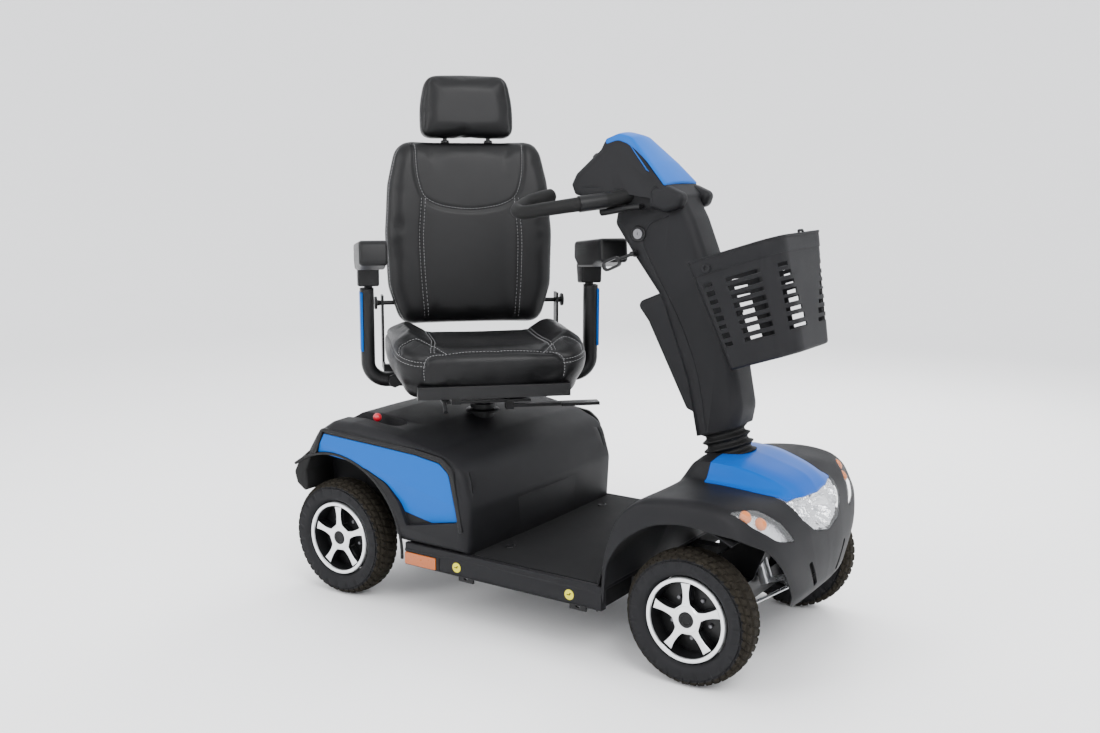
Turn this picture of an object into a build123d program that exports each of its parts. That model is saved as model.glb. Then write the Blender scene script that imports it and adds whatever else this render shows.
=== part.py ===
from build123d import *
import math
import os

# Four-wheel mobility scooter.  Millimetres.  +Z is up, the ground is z = 0, the nose
# points along -Y and the rider's left is +X.  The origin is on the ground, midway
# between the axles and between the wheels.  The seat stands turned to the rider's right.

# ---- driving dimensions: running gear
AXLE_Y = 500.0            # each axle, forward or back of the origin
HALF_TRACK = 285.0        # wheel centre to the middle plane
TYRE_R = 150.0
TYRE_WIDTH = 80.0
TYRE_SHOULDER_R = 22.0
RIM_R = 94.5
RIM_WALL = 9.0
RIM_WIDTH = 70.0
SPOKE_COUNT = 5
SPOKE_PLATE = 12.0
HUB_R = 24.0
AXLE_R = 12.0
RUN_CLEARANCE = 0.05      # radial, shaft in bore
FACE_GAP = 0.3            # between faces that turn or slide past each other
KINGPIN_X = 215.0
KINGPIN_R = 11.0
KNUCKLE_LENGTH = 55.0
STEER_ARM = 55.0
BALL_PIN_R = 5.0
OPEN_PIVOT_CLEARANCE = 0.5

# ---- driving dimensions: floor and body
BODY_HALF = 333.0
SHELL_WALL = 4.0
SILL_Z0 = 128.0
DECK_Z = 184.0
DECK_T = 8.0
MAT_T = 4.0
FLOOR_FRONT_Y = -300.0
FLOOR_REAR_Y = 265.0
RAIL_X = 150.0
RAIL_W = 36.0
RAIL_H = 34.0
RAIL_Z0 = 128.0
ARCH_R = 214.0            # front wheel arch, about the axle
REAR_ARCH_R = 224.0
FRONT_WELL_X = 176.0      # inner wall of the front wheel well
REAR_WELL_X = 232.0
SPINE_HALF = 137.0

# ---- driving dimensions: steering column and tiller
RAKE = 19.0               # the steering axis leans back, degrees
AXIS_Y = -447.0           # the steering axis passes (0, AXIS_Y, AXIS_Z)
AXIS_Z = 443.0
TILT_ALONG = 30.0         # tilt pivot, measured up the steering axis from there
SHAFT_R = 16.0
TILT_PIN_R = 8.0
TILT_EYE_R = 20.0
TILT_EYE_HALF = 19.0
TILLER_TUBE_R = 18.0
COLUMN_HALF = 56.0
COLUMN_WALL = 4.0
HEAD_HALF = 72.0
BAR_R = 16.5

# ---- driving dimensions: smaller fittings
EYE_R = 6.5
EYE_PLACES = (-215.0, 105.0)
RAIL_FRONT_Y = -550.0
RAIL_REAR_Y = 420.0
CROSS_MEMBERS = ((-526, -440), (-290, -250), (40, 80), (252, 292), (396, 420))
HEAD_TOP_Z = 396.0
BOOT_BASE_R = 60.0
HOOD_T = 4.0
FREEWHEEL_SLOT = (-262.0, -212.0, 350.0, 530.0)
FREEWHEEL_PIVOT = (-237.0, 446.0, 395.0)
FREEWHEEL_PIN_R = 5.0
TUBE_TOP = 570.0
DIAL_R = 9.0
BUTTON_R = 8.0
BUTTON_X = 34.0
LEVER_AXIS = (0.0, -240.0, 1010.0)
LEVER_R = 5.0
LEVER_X = 88.0
BASKET_LEAN = 18.6
BASKET_LOW = (0.0, -565.0, 676.0)
BASKET_H = 246.0
BASKET_WALL = 3.5
ROD_LEVEL = -25.0         # middle of a tie-rod eye, up the kingpin from its middle

# ---- driving dimensions: seat (drawn facing the nose, then turned)
SEAT_POST_Y = 272.0
SEAT_TURN = -45.0         # swivelled to the rider's right at rest
POST_R = 22.0
CUSHION_HALF = 262.0
CUSHION_FRONT = 245.0
CUSHION_REAR = -172.0
CUSHION_Z0 = 566.0
CUSHION_Z1 = 668.0
BACK_HALF = 236.0
BACK_Z0 = 676.0
BACK_Z1 = 1150.0
BACK_T = 88.0
BACK_LEAN = 6.0
BACK_FACE = -196.0        # front face of the backrest at its foot
HINGE_Z = 720.0
HINGE_BACK = -240.0
HEADREST_HALF = 132.0
HEADREST_H = 168.0
HEADREST_T = 82.0
HEADREST_POST_R = 6.0
HEADREST_POST_X = 60.0
ARM_X = 292.0
ARM_BACK = -30.0
ARM_PIVOT_Z = 806.0
ARM_PAD_HALF = 35.0
ARM_PAD_H = 72.0
ARM_PAD_LENGTH = 312.0
ARM_PAD_RISE = 5.5
ARM_TUBE_W = 42.0
ARM_TUBE_T = 30.0
ARM_BEND_R = 48.0

RAKE_SIN = math.sin(math.radians(RAKE))
RAKE_COS = math.cos(math.radians(RAKE))
STEER_DIR = Vector(0, RAKE_SIN, RAKE_COS)
STEER_BACK = Vector(0, RAKE_COS, -RAKE_SIN)


# ---- helpers
def block(x0, x1, y0, y1, z0, z1):
    """Box between two corners."""
    return Pos((x0 + x1) / 2, (y0 + y1) / 2, (z0 + z1) / 2) * Box(x1 - x0, y1 - y0, z1 - z0)


def side_prism(points, x0, x1):
    """Outline of (y, z) points, extruded along X from x0 to x1."""
    face = make_face(Polyline([(x0, y, z) for y, z in points], close=True))
    return extrude(face, amount=x1 - x0, dir=(1, 0, 0))


def plan_prism(points, z0, z1):
    """Outline of (x, y) points, extruded up from z0 to z1."""
    face = make_face(Polyline([(x, y, z0) for x, y in points], close=True))
    return extrude(face, amount=z1 - z0, dir=(0, 0, 1))


def front_prism(points, y0, y1):
    """Outline of (x, z) points, extruded along Y from y0 to y1."""
    face = make_face(Polyline([(x, y0, z) for x, z in points], close=True))
    return extrude(face, amount=y1 - y0, dir=(0, 1, 0))


def rod(start, end, radius):
    """Round bar between two points."""
    a = Vector(*start)
    b = Vector(*end)
    return Solid.make_cylinder(radius, (b - a).length, Plane(origin=a, z_dir=b - a))


def x_cylinder(x0, x1, y, z, radius):
    return rod((x0, y, z), (x1, y, z), radius)


def on_axis(along, back=0.0, x=0.0):
    """Point in the steering axis' own frame: up the axis, square behind it, sideways."""
    p = Vector(x, AXIS_Y, AXIS_Z) + STEER_DIR * along + STEER_BACK * back
    return (p.X, p.Y, p.Z)


def axis_plane(origin):
    return Plane(origin=origin, x_dir=(1, 0, 0), z_dir=STEER_DIR)


def mirrored(points):
    """A half outline of (x, other) points with x > 0, closed by its mirror image."""
    return points + [(-x, v) for x, v in reversed(points) if x > 0]


def both_sides(shape):
    return [shape, mirror(shape, about=Plane.YZ)]


def inset(points, by):
    """Outline moved inwards by a wall: every edge shifts square to itself."""
    area = sum(a[0] * b[1] - b[0] * a[1] for a, b in zip(points, points[1:] + points[:1]))
    turn = math.copysign(1.0, area)
    edges = []
    for (ax, ay), (bx, by_) in zip(points, points[1:] + points[:1]):
        length = math.hypot(bx - ax, by_ - ay)
        nx, ny = -turn * (by_ - ay) / length, turn * (bx - ax) / length
        edges.append((nx, ny, nx * ax + ny * ay + by))
    corners = []
    for (a1, b1, c1), (a2, b2, c2) in zip(edges[-1:] + edges[:-1], edges):
        det = a1 * b2 - a2 * b1
        corners.append(((c1 * b2 - c2 * b1) / det, (a1 * c2 - a2 * c1) / det))
    return corners


def tube_path(points, radius, bends):
    """Round bar along straight runs joined by tangent bends."""
    path = FilletPolyline(*points, radius=bends)
    start = Plane(origin=path @ 0, z_dir=path % 0)
    return sweep(start * Circle(radius), path=path)


def seat_frame_to_world(shape):
    """Turn a seat piece about the seat post and stand it on the post's axis."""
    return Pos(0, SEAT_POST_Y, 0) * Rot(0, 0, SEAT_TURN) * shape


def write(name, shape):
    """Write one named sub-part; a list becomes a group of separate solids."""
    if isinstance(shape, (list, tuple)):
        solids = [s for item in shape for s in item.solids()]
        shape = solids[0] if len(solids) == 1 else Compound(children=solids)
    export_step(shape, os.path.join("parts", name + ".step"))


# ---- wheels
WHEELS = {"front_left": (1, -1), "front_right": (-1, -1), "rear_left": (1, 1), "rear_right": (-1, 1)}


def tyre():
    body = Cylinder(TYRE_R, TYRE_WIDTH)
    body = fillet(body.edges(), TYRE_SHOULDER_R)
    return body - Cylinder(RIM_R, TYRE_WIDTH)


def rim():
    """Five-spoke rim with its hub; +Z is the outer side."""
    barrel = Cylinder(RIM_R, RIM_WIDTH) - Cylinder(RIM_R - RIM_WALL, RIM_WIDTH)
    plate_z = RIM_WIDTH / 2 - SPOKE_PLATE
    plate = Pos(0, 0, plate_z) * Cylinder(RIM_R - RIM_WALL / 2, SPOKE_PLATE)
    pocket_r = (RIM_R - RIM_WALL + HUB_R) / 2
    pocket = Pos(pocket_r, 0, plate_z) * Cylinder(19.0, 2 * SPOKE_PLATE)
    for i in range(SPOKE_COUNT):
        plate -= Rot(0, 0, (i + 0.5) * 360 / SPOKE_COUNT) * pocket
    hub = Cylinder(HUB_R, RIM_WIDTH)
    return barrel + plate + hub - Pos(0, 0, -6) * Cylinder(AXLE_R + RUN_CLEARANCE, RIM_WIDTH)


def wheels():
    for name, (side, end) in WHEELS.items():
        place = Pos(side * HALF_TRACK, end * AXLE_Y, TYRE_R) * Rot(0, side * 90, 0)
        write("tyre_" + name, place * tyre())
        write("rim_" + name, place * rim())


STUB_END_X = HALF_TRACK + RIM_WIDTH / 2 - 6 - 1.5
HUB_INNER_X = HALF_TRACK - RIM_WIDTH / 2


# ---- chassis
def axis_clearance(radius, low=-420.0, high=60.0):
    return rod(on_axis(low), on_axis(high), radius)


def main_frame():
    x0, x1 = RAIL_X - RAIL_W / 2, RAIL_X + RAIL_W / 2
    rail = block(x0, x1, RAIL_FRONT_Y, RAIL_REAR_Y, RAIL_Z0, RAIL_Z0 + RAIL_H)
    frame = rail + mirror(rail, about=Plane.YZ)
    reach = RAIL_X - RAIL_W / 2 + 1
    for y0, y1 in CROSS_MEMBERS:
        frame += block(-reach, reach, y0, y1, RAIL_Z0 + 4, RAIL_Z0 + RAIL_H)
    return frame


def axis_y(z):
    """Where the steering axis crosses a height."""
    return AXIS_Y + (z - AXIS_Z) * RAKE_SIN / RAKE_COS


def steering_head():
    z0 = RAIL_Z0 + RAIL_H
    front, rear = CROSS_MEMBERS[0]
    outline = [(front, z0), (rear, z0), (axis_y(HEAD_TOP_Z) + 30, HEAD_TOP_Z),
               (axis_y(HEAD_TOP_Z) - 30, HEAD_TOP_Z), (axis_y(230) - 32, 230)]
    return side_prism(outline, -30, 30) - axis_clearance(SHAFT_R + RUN_CLEARANCE)


def seat_tower():
    z0 = RAIL_Z0 + RAIL_H
    plate = block(-90, 90, SEAT_POST_Y - 45, SEAT_POST_Y + 45, z0, z0 + 8)
    tube = rod((0, SEAT_POST_Y, z0 + 8), (0, SEAT_POST_Y, 470), POST_R + 6)
    brace = block(-60, 60, SEAT_POST_Y - 4, SEAT_POST_Y + 4, z0 + 8, 330)
    body = plate + tube + brace
    return body - rod((0, SEAT_POST_Y, 300), (0, SEAT_POST_Y, 480), POST_R + RUN_CLEARANCE)


def floor_pan():
    deck = block(-BODY_HALF, BODY_HALF, FLOOR_FRONT_Y, FLOOR_REAR_Y - 4, DECK_Z - DECK_T, DECK_Z)
    sill = block(BODY_HALF - 22, BODY_HALF, FLOOR_FRONT_Y, FLOOR_REAR_Y, SILL_Z0, DECK_Z - DECK_T + 1)
    sill += block(RAIL_X - 10, BODY_HALF - 10, -20, 20, RAIL_Z0 + RAIL_H, DECK_Z - DECK_T + 1)
    pan = deck + sill + mirror(sill, about=Plane.YZ)
    tower = block(-95, 95, SEAT_POST_Y - 50, SEAT_POST_Y + 50, 0, 300)
    reflector = block(BODY_HALF - 3, BODY_HALF + 5, 167, FLOOR_REAR_Y, 132, 164)
    for piece in both_sides(reflector):
        pan -= piece
    return pan - tower


def side_reflectors():
    return both_sides(block(BODY_HALF - 3, BODY_HALF + 2, 167, FLOOR_REAR_Y, 132, 164))


def floor_mat():
    return block(-BODY_HALF + 14, BODY_HALF - 14, FLOOR_FRONT_Y + 6, 66, DECK_Z, DECK_Z + MAT_T)


def tie_down_eyes():
    eyes = []
    for y in EYE_PLACES:
        plate = block(RAIL_X + 140, RAIL_X + 146, y - 22, y + 22, 104, DECK_Z - DECK_T)
        plate -= x_cylinder(RAIL_X + 100, RAIL_X + 200, y, 116, EYE_R)
        eyes += both_sides(plate)
    return eyes


def batteries():
    return both_sides(block(4, 130, 100, 222, DECK_Z, 362))


def controller():
    return block(-70, 70, 330, 400, RAIL_Z0 + RAIL_H, 215)


def transaxle():
    """Drive unit: differential housing, motor across it, half shafts and the two hanger arms."""
    body = x_cylinder(-44, 44, AXLE_Y, TYRE_R, 62)
    body += x_cylinder(-STUB_END_X, STUB_END_X, AXLE_Y, TYRE_R, AXLE_R)
    body += x_cylinder(-HUB_INNER_X + FACE_GAP, HUB_INNER_X - FACE_GAP, AXLE_Y, TYRE_R, 20)
    body += x_cylinder(-90, 78, AXLE_Y, 236, 44)
    body += block(-30, 30, AXLE_Y - 30, AXLE_Y + 30, TYRE_R, 236)
    hanger = block(RAIL_X - 14, RAIL_X + 14, RAIL_REAR_Y, AXLE_Y, RAIL_Z0 + 4, RAIL_Z0 + RAIL_H)
    return body + hanger + mirror(hanger, about=Plane.YZ)


# ---- front axle and steering


def kingpin_plane(side):
    return axis_plane((side * KINGPIN_X, -AXLE_Y, TYRE_R))


KING_UP = Vector(0, -AXLE_Y - AXIS_Y, TYRE_R - AXIS_Z).dot(STEER_DIR)
KING_BACK = Vector(0, -AXLE_Y - AXIS_Y, TYRE_R - AXIS_Z).dot(STEER_BACK)


def front_axle():
    half = KNUCKLE_LENGTH / 2
    beam = block(-KINGPIN_X + 22, KINGPIN_X - 22, -AXLE_Y - 4, -AXLE_Y + 26, 92, RAIL_Z0 - 0.5)
    for side in (-1, 1):
        ears = Pos(0, 0, half + FACE_GAP + 5) * Box(38, 38, 10)
        ears += Pos(0, 0, -half - FACE_GAP - 5) * Box(38, 38, 10)
        web = Pos(-side * 24, 12, 0) * Box(10, 14, KNUCKLE_LENGTH + 20)
        arm = Pos(-side * 22, 12, half + FACE_GAP + 5) * Box(14, 14, 10)
        arm += Pos(-side * 22, 12, -half - FACE_GAP - 5) * Box(14, 14, 10)
        pin = Cylinder(KINGPIN_R, KNUCKLE_LENGTH + 20)
        beam += kingpin_plane(side) * (ears + web + arm + pin)
    clamps = block(RAIL_X - RAIL_W / 2, RAIL_X + RAIL_W / 2, -AXLE_Y - 4, -AXLE_Y + 26, RAIL_Z0 - 2, RAIL_Z0)
    return beam + clamps + mirror(clamps, about=Plane.YZ)


def knuckle(side):
    place = kingpin_plane(side)
    body = place * Cylinder(19.0, KNUCKLE_LENGTH)
    body += x_cylinder(side * KINGPIN_X, side * (HUB_INNER_X - FACE_GAP), -AXLE_Y, TYRE_R, 17)
    body += x_cylinder(side * KINGPIN_X, side * STUB_END_X, -AXLE_Y, TYRE_R, AXLE_R)
    arm = Pos(0, -STEER_ARM / 2 - 4, -14) * Box(16, STEER_ARM - 8, 8)
    arm += Pos(0, -STEER_ARM, -14) * Cylinder(9, 8)
    arm += Pos(0, -STEER_ARM, -14 - 4 - 7) * Cylinder(BALL_PIN_R, 14)
    body += place * arm
    return body - place * Cylinder(KINGPIN_R + RUN_CLEARANCE, 200)


def tie_rod(side):
    """From the pitman arm's pin to the knuckle's; both eyes lie square to the steering axis."""
    outer_eye = (side * KINGPIN_X, -STEER_ARM, ROD_LEVEL)
    level = -5.5 if side < 0 else 5.5
    inner_eye = (0.0, -KING_BACK - STEER_ARM, ROD_LEVEL + level)
    base = axis_plane((0, -AXLE_Y, TYRE_R))
    eye = Pos(*outer_eye) * Cylinder(11, 8)
    eye += Pos(*inner_eye) * Cylinder(11, 8)
    bar_start = Vector(*outer_eye) + Vector(-side * 8, 0, 0)
    bar_end = Vector(*inner_eye) + Vector(side * 8, 0, 0)
    body = eye + rod(bar_start, bar_end, 4.0)
    body -= Pos(*outer_eye) * Cylinder(BALL_PIN_R + OPEN_PIVOT_CLEARANCE, 40)
    body -= Pos(*inner_eye) * Cylinder(BALL_PIN_R + RUN_CLEARANCE, 40)
    return base * body


def steering_shaft():
    """Shaft through the head tube, pitman arm below it and the tilt clevis on top."""
    arm_up = KING_UP + ROD_LEVEL + 5.5 + 4 + 0.5
    body = rod(on_axis(arm_up), on_axis(TILT_ALONG - TILT_EYE_R - 4), SHAFT_R)
    arm = axis_plane(on_axis(arm_up + 5)) * (Pos(0, -STEER_ARM / 2, 0) * Box(20, STEER_ARM, 10))
    tip = axis_plane(on_axis(arm_up + 5, -STEER_ARM)) * Cylinder(10, 10)
    pin = rod(on_axis(arm_up + 2, -STEER_ARM), on_axis(arm_up - 21, -STEER_ARM), BALL_PIN_R)
    seat = axis_plane(on_axis(TILT_ALONG - TILT_EYE_R - 8)) * Box(2 * TILT_EYE_HALF + 18, 34, 8)
    ear_x = TILT_EYE_HALF + FACE_GAP + 4
    ears = axis_plane(on_axis(TILT_ALONG - 6)) * (Pos(ear_x, 0, 0) * Box(8, 34, 2 * TILT_EYE_R + 4))
    pivot = on_axis(TILT_ALONG)
    bolt = x_cylinder(-ear_x - 6, ear_x + 6, pivot[1], pivot[2], TILT_PIN_R)
    return body + arm + tip + pin + seat + ears + mirror(ears, about=Plane.YZ) + bolt


# ---- body panels
FENDER_SIDE = [(-296, SILL_Z0 + 50), (-302, 205), (-323, 281), (-356, 350), (-395, 398), (-445, 411),
               (-560, 407), (-636, 388), (-676, 345), (-696, 252), (-688, 194), (-645, 140), (-296, 140)]
SPINE_SIDE = [(-352, 330), (-392, 440), (-425, 458), (-468, 461), (-560, 441), (-655, 405), (-664, 330)]
FENDER_PLAN = [(BODY_HALF, -290), (BODY_HALF, -560), (318, -618), (262, -656), (165, -682), (80, -698)]
FENDER_FRONT = [(BODY_HALF, 100), (BODY_HALF, 340), (312, 378), (262, 402), (170, 412), (140, 480)]


def hull_of_nose(wall):
    """The nose and fenders as one solid, drawn in by a wall."""
    fender = inset(FENDER_SIDE, wall) if wall else FENDER_SIDE
    spine = inset(SPINE_SIDE, wall) if wall else SPINE_SIDE
    side = side_prism(fender, -400, 400)
    side += side_prism(spine, -SPINE_HALF + wall, SPINE_HALF - wall)
    drawn = [(x - (wall if x > 100 else 0), y + (wall if y < -300 else 0)) for x, y in FENDER_PLAN]
    plan_points = mirrored(drawn)
    front_points = mirrored([(x - wall, z - (wall if z > 300 else 0)) for x, z in FENDER_FRONT])
    return side & plan_prism(plan_points, 0, 600) & front_prism(front_points, -800, -200)


def front_arches(radius, inner_x):
    well = x_cylinder(inner_x, 420, -AXLE_Y, TYRE_R, radius)
    well += block(inner_x, 420, -AXLE_Y - radius, -AXLE_Y + radius, 0, TYRE_R)
    return well + mirror(well, about=Plane.YZ)


def front_shroud():
    shell = hull_of_nose(0)
    cavity = hull_of_nose(SHELL_WALL) + block(-FRONT_WELL_X + 4, FRONT_WELL_X - 4, -640, -280, 100, 340)
    cavity -= front_arches(ARCH_R + SHELL_WALL, FRONT_WELL_X - SHELL_WALL)
    body = shell - cavity - front_arches(ARCH_R, FRONT_WELL_X)
    body -= axis_clearance(BOOT_BASE_R + FACE_GAP, -120, 100)
    body -= block(-400, 400, FLOOR_FRONT_Y, 0, 0, DECK_Z + MAT_T)
    body -= block(-FRONT_WELL_X - 4, FRONT_WELL_X + 4, -640, -430, 60, 262)
    body -= hood_panel()
    for lens in indicator_lenses() + headlamp_parts():
        body -= lens
    return largest(body)


def largest(shape):
    return max(shape.solids(), key=lambda s: s.volume)


def hood_panel():
    """Painted skin over the front of the spine, from the boot to the headlamps."""
    top = [(y, z + HOOD_T) for y, z in ((-425, 458), (-468, 461), (-560, 441), (-655, 405))]
    low = [(y, z) for y, z in ((-655, 405), (-560, 441), (-468, 461), (-425, 458))]
    skin = side_prism(top + low, -SPINE_HALF, SPINE_HALF)
    plan = [(SPINE_HALF - 1, -420), (SPINE_HALF - 4, -520), (118, -585), (70, -640), (30, -655)]
    skin = skin & plan_prism(mirrored(plan), 300, 600)
    return skin - axis_clearance(BOOT_BASE_R + FACE_GAP, -120, 100)


def indicator_lenses():
    """Leaf-shaped turn lamps let into the fender corners."""
    plane = Plane(origin=(226, -628, 352), x_dir=(0.79, 0.62, 0.42), z_dir=(0.38, -0.72, 0.58))
    outline = Polyline([(-72, -22), (-20, -26), (78, 24), (18, 28)], close=True)
    leaf = plane * extrude(make_face(outline), 16, both=True)
    return both_sides(leaf & hull_of_nose(0))


def headlamp_parts():
    return [headlamp_lens(), headlamp_reflector()]


def headlamp_lens():
    """Clear lens across the nose, under the hood."""
    front = [(120, 395), (92, 340), (40, 312), (0, 306)]
    window = front_prism(mirrored(front), -720, -600)
    skin = hull_of_nose(0) - hull_of_nose(5)
    return largest((window & skin) - hood_panel())


def headlamp_reflector():
    """Bowl behind the lens."""
    front = [(108, 386), (84, 344), (38, 320), (0, 314)]
    body = front_prism(mirrored(front), -720, -618) & hull_of_nose(5 + FACE_GAP)
    return largest(body - Pos(0, -742, 356) * Sphere(92))


def rear_outline():
    return [(74, DECK_Z), (71, 290), (92, 368), (118, 400), (160, 424), (240, 446), (330, 460), (440, 460),
            (500, 450), (545, 428), (590, 372), (606, 300), (606, 214), (300, DECK_Z)]


def rear_shell(wall):
    points = inset(rear_outline(), wall) if wall else rear_outline()
    body = side_prism(points, -BODY_HALF + wall, BODY_HALF - wall)
    half = BODY_HALF - wall
    front = mirrored([(half, 100), (half, 418 - wall), (BODY_HALF - 14, 436 - wall), (290, 500)])
    return body & front_prism(front, 0, 700)


def rear_arches(radius, inner_x):
    well = x_cylinder(inner_x, 420, AXLE_Y, TYRE_R, radius)
    well += block(inner_x, 420, AXLE_Y - radius, 800, 0, TYRE_R + 40)
    return well + mirror(well, about=Plane.YZ)


def side_panel():
    """Painted insert in the flank, sweeping from the front pillar over the wheel."""
    outline = [(101, 266), (131, 380), (152, 399), (220, 408), (340, 413), (527, 422), (557, 371),
               (458, 364), (400, 352), (327, 329), (290, 290), (261, 232)]
    return side_prism(outline, BODY_HALF - 3, BODY_HALF + 2)


def freewheel_tray():
    """Sunken tray in the deck with two ears that carry the freewheel lever."""
    x0, x1, y0, y1 = FREEWHEEL_SLOT
    x, y, z = FREEWHEEL_PIVOT
    tray = block(x0 - 3, x1 + 3, y0 - 3, y1 + 3, 428, 480) - block(x0, x1, y0, y1, 432, 480)
    tray -= block(x - 6, x + 6, y - 62, y + 14, 420, 440)
    ears = block(x - 12, x - 7, y - 10, y + 10, z - 12, 430)
    ears += block(x + 7, x + 12, y - 10, y + 10, z - 12, 430)
    ears -= x_cylinder(x - 20, x + 20, y, z, FREEWHEEL_PIN_R + RUN_CLEARANCE)
    return (tray & rear_shell(0)) + ears


def rear_cover():
    cavity = rear_shell(SHELL_WALL) + block(-REAR_WELL_X + 6, REAR_WELL_X - 6, 110, 590, 160, 300)
    cavity += block(-BODY_HALF + 4, BODY_HALF - 4, 84, 270, 170, 260)
    cavity -= rear_arches(REAR_ARCH_R + SHELL_WALL, REAR_WELL_X - SHELL_WALL)
    body = rear_shell(0) - cavity - rear_arches(REAR_ARCH_R, REAR_WELL_X)
    body -= rod((0, SEAT_POST_Y, 400), (0, SEAT_POST_Y, 500), POST_R + 6)
    body = body - block(*FREEWHEEL_SLOT, 428, 500) + freewheel_tray()
    for piece in both_sides(side_panel()) + tail_lamps() + [rear_bumper()]:
        body -= piece
    return largest(body)


def rear_bumper():
    outline = [(594, 273), (600, 262), (632, 282), (639, 309), (620, 345), (585, 372), (575, 366),
               (596, 320)]
    return side_prism(outline, -BODY_HALF + 4, BODY_HALF - 4)


def tail_lamps():
    slope = side_prism([(540, 434), (600, 380), (600, 360), (540, 360)], 0, 400)
    return both_sides(block(210, 290, 560, 612, 385, 415) & slope)


# ---- tiller: everything that tilts with the steering column
COLUMN_SIDE = [(-452, 508), (-486, 575), (-462, 700), (-398, 882), (-356, 985), (-322, 1044), (-214, 1044),
               (-158, 1000), (-150, 968), (-205, 890), (-276, 800), (-352, 610), (-392, 515)]
POD_SIDE = [(-392, 530), (-352, 548), (-246, 742), (-214, 782), (-282, 812), (-360, 622)]
HEAD_SIDE = [(-62, 1034), (-50, 1056), (-62, 1082), (-112, 1136), (-120, 1158), (-158, 1170), (-190, 1162),
             (-256, 1102), (-300, 1056), (-338, 1040), (-330, 1000), (-226, 1008), (-150, 1020)]


def tiller_tube():
    pivot = on_axis(TILT_ALONG)
    eye = x_cylinder(-TILT_EYE_HALF, TILT_EYE_HALF, pivot[1], pivot[2], TILT_EYE_R)
    body = eye + rod(on_axis(TILT_ALONG + 6), on_axis(TUBE_TOP), TILLER_TUBE_R)
    body -= x_cylinder(-60, 60, pivot[1], pivot[2], TILT_PIN_R + RUN_CLEARANCE)
    return body


def tube_hole():
    return rod(on_axis(TILT_ALONG - 40), on_axis(TUBE_TOP), TILLER_TUBE_R)


def column_cover():
    body = side_prism(COLUMN_SIDE, -COLUMN_HALF, COLUMN_HALF)
    cavity = side_prism(inset(COLUMN_SIDE, 9), -COLUMN_HALF + COLUMN_WALL, COLUMN_HALF - COLUMN_WALL)
    body = body - cavity - tube_hole() - control_head_outer() - handlebar_path(BAR_R)
    for piece in (column_pod(), key_lock_hole(), drive_lever_slot(), tilt_lever_hole(), basket_bracket()):
        body -= piece
    return largest(body)


def column_pod():
    return side_prism(POD_SIDE, -COLUMN_HALF + 10, COLUMN_HALF - 10) - tube_hole()


def control_head_outer():
    body = side_prism(HEAD_SIDE, -HEAD_HALF, HEAD_HALF)
    flank = HEAD_HALF + 14
    top = mirrored([(flank, 990), (flank, 1052), (HEAD_HALF - 6, 1100), (50, 1166), (30, 1190)])
    return body & front_prism(top, -400, 0)


def handlebar_path(radius):
    shapes = []
    for side in (-1, 1):
        points = [(side * 12, -216, 1036), (side * 60, -204, 1034), (side * 170, -124, 1014),
                  (side * 236, -16, 994), (side * 112, -26, 1032)]
        shapes.append(tube_path(points, radius, [40, 60, 26]))
    return shapes[0] + shapes[1] + x_cylinder(-14, 14, -216, 1036, radius)


def control_head():
    cavity = side_prism(inset(HEAD_SIDE, 5), -HEAD_HALF + 5, HEAD_HALF - 5)
    flank = HEAD_HALF + 8
    low = mirrored([(flank, 990), (flank, 1052), (HEAD_HALF - 12, 1100), (44, 1162), (24, 1180)])
    cavity = cavity & front_prism(low, -400, 0)
    body = control_head_outer() - cavity - tube_hole() - handlebar_path(BAR_R) - head_panel()
    for piece in (dash_display(), dial_hole(), button_holes(), drive_lever_slot()):
        body -= piece
    return largest(body)


def head_panel():
    """Painted cap over the front slope of the head."""
    outline = [(-122, 1160), (-158, 1173), (-192, 1165), (-258, 1105), (-292, 1066), (-284, 1056),
               (-250, 1094), (-188, 1154), (-158, 1161), (-126, 1152)]
    plan = mirrored([(44, -110), (48, -190), (44, -262), (26, -300)])
    return side_prism(outline, -60, 60) & plan_prism(plan, 1000, 1200)


DASH = Plane(origin=(0, -86, 1108), x_dir=(1, 0, 0), z_dir=(0, 0.735, 0.678))


def dash_display():
    return DASH * (Pos(0, 15, 0) * Box(64, 26, 8))


def dial_hole():
    return DASH * (Pos(0, -14, 0) * Cylinder(DIAL_R + RUN_CLEARANCE, 60))


def speed_dial():
    knob = Pos(0, -14, 9) * Cylinder(15, 12) + Pos(0, -14, 0) * Cylinder(DIAL_R, 16)
    return DASH * knob


def button_holes():
    radius = BUTTON_R + RUN_CLEARANCE
    holes = Pos(-BUTTON_X, -14, 0) * Cylinder(radius, 60) + Pos(BUTTON_X, -14, 0) * Cylinder(radius, 60)
    return DASH * holes


def dash_button(x):
    return DASH * (Pos(x, -14, 2) * Cylinder(BUTTON_R, 14))


def drive_lever_slot():
    x, y, z = LEVER_AXIS
    return x_cylinder(-HEAD_HALF - 20, HEAD_HALF + 20, y, z, LEVER_R + RUN_CLEARANCE)


def drive_lever():
    """Thumb lever either side of the head on one cross shaft."""
    x, y, z = LEVER_AXIS
    body = x_cylinder(-LEVER_X - 6, LEVER_X + 6, y, z, LEVER_R)
    for side in (-1, 1):
        grip = (side * LEVER_X, y + 92, z - 14)
        body += rod((side * LEVER_X, y, z), grip, LEVER_R + 0.5) + Pos(*grip) * Sphere(8)
    return body


def key_plane():
    return Plane(origin=(-COLUMN_HALF, -222, 946), x_dir=(0, 1, 0), z_dir=(-1, 0, 0))


def key_lock_hole():
    return key_plane() * Cylinder(12.0, 60)


def key_lock():
    ring = Cylinder(11.7, 10) - Pos(0, 0, 5) * Box(2, 7, 3)
    return key_plane() * ring


TILT_LEVER_PIVOT = (-COLUMN_HALF, -214, 900)


def tilt_lever_hole():
    x, y, z = TILT_LEVER_PIVOT
    return x_cylinder(x - 10, x + 30, y, z, 8 + RUN_CLEARANCE)


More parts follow.
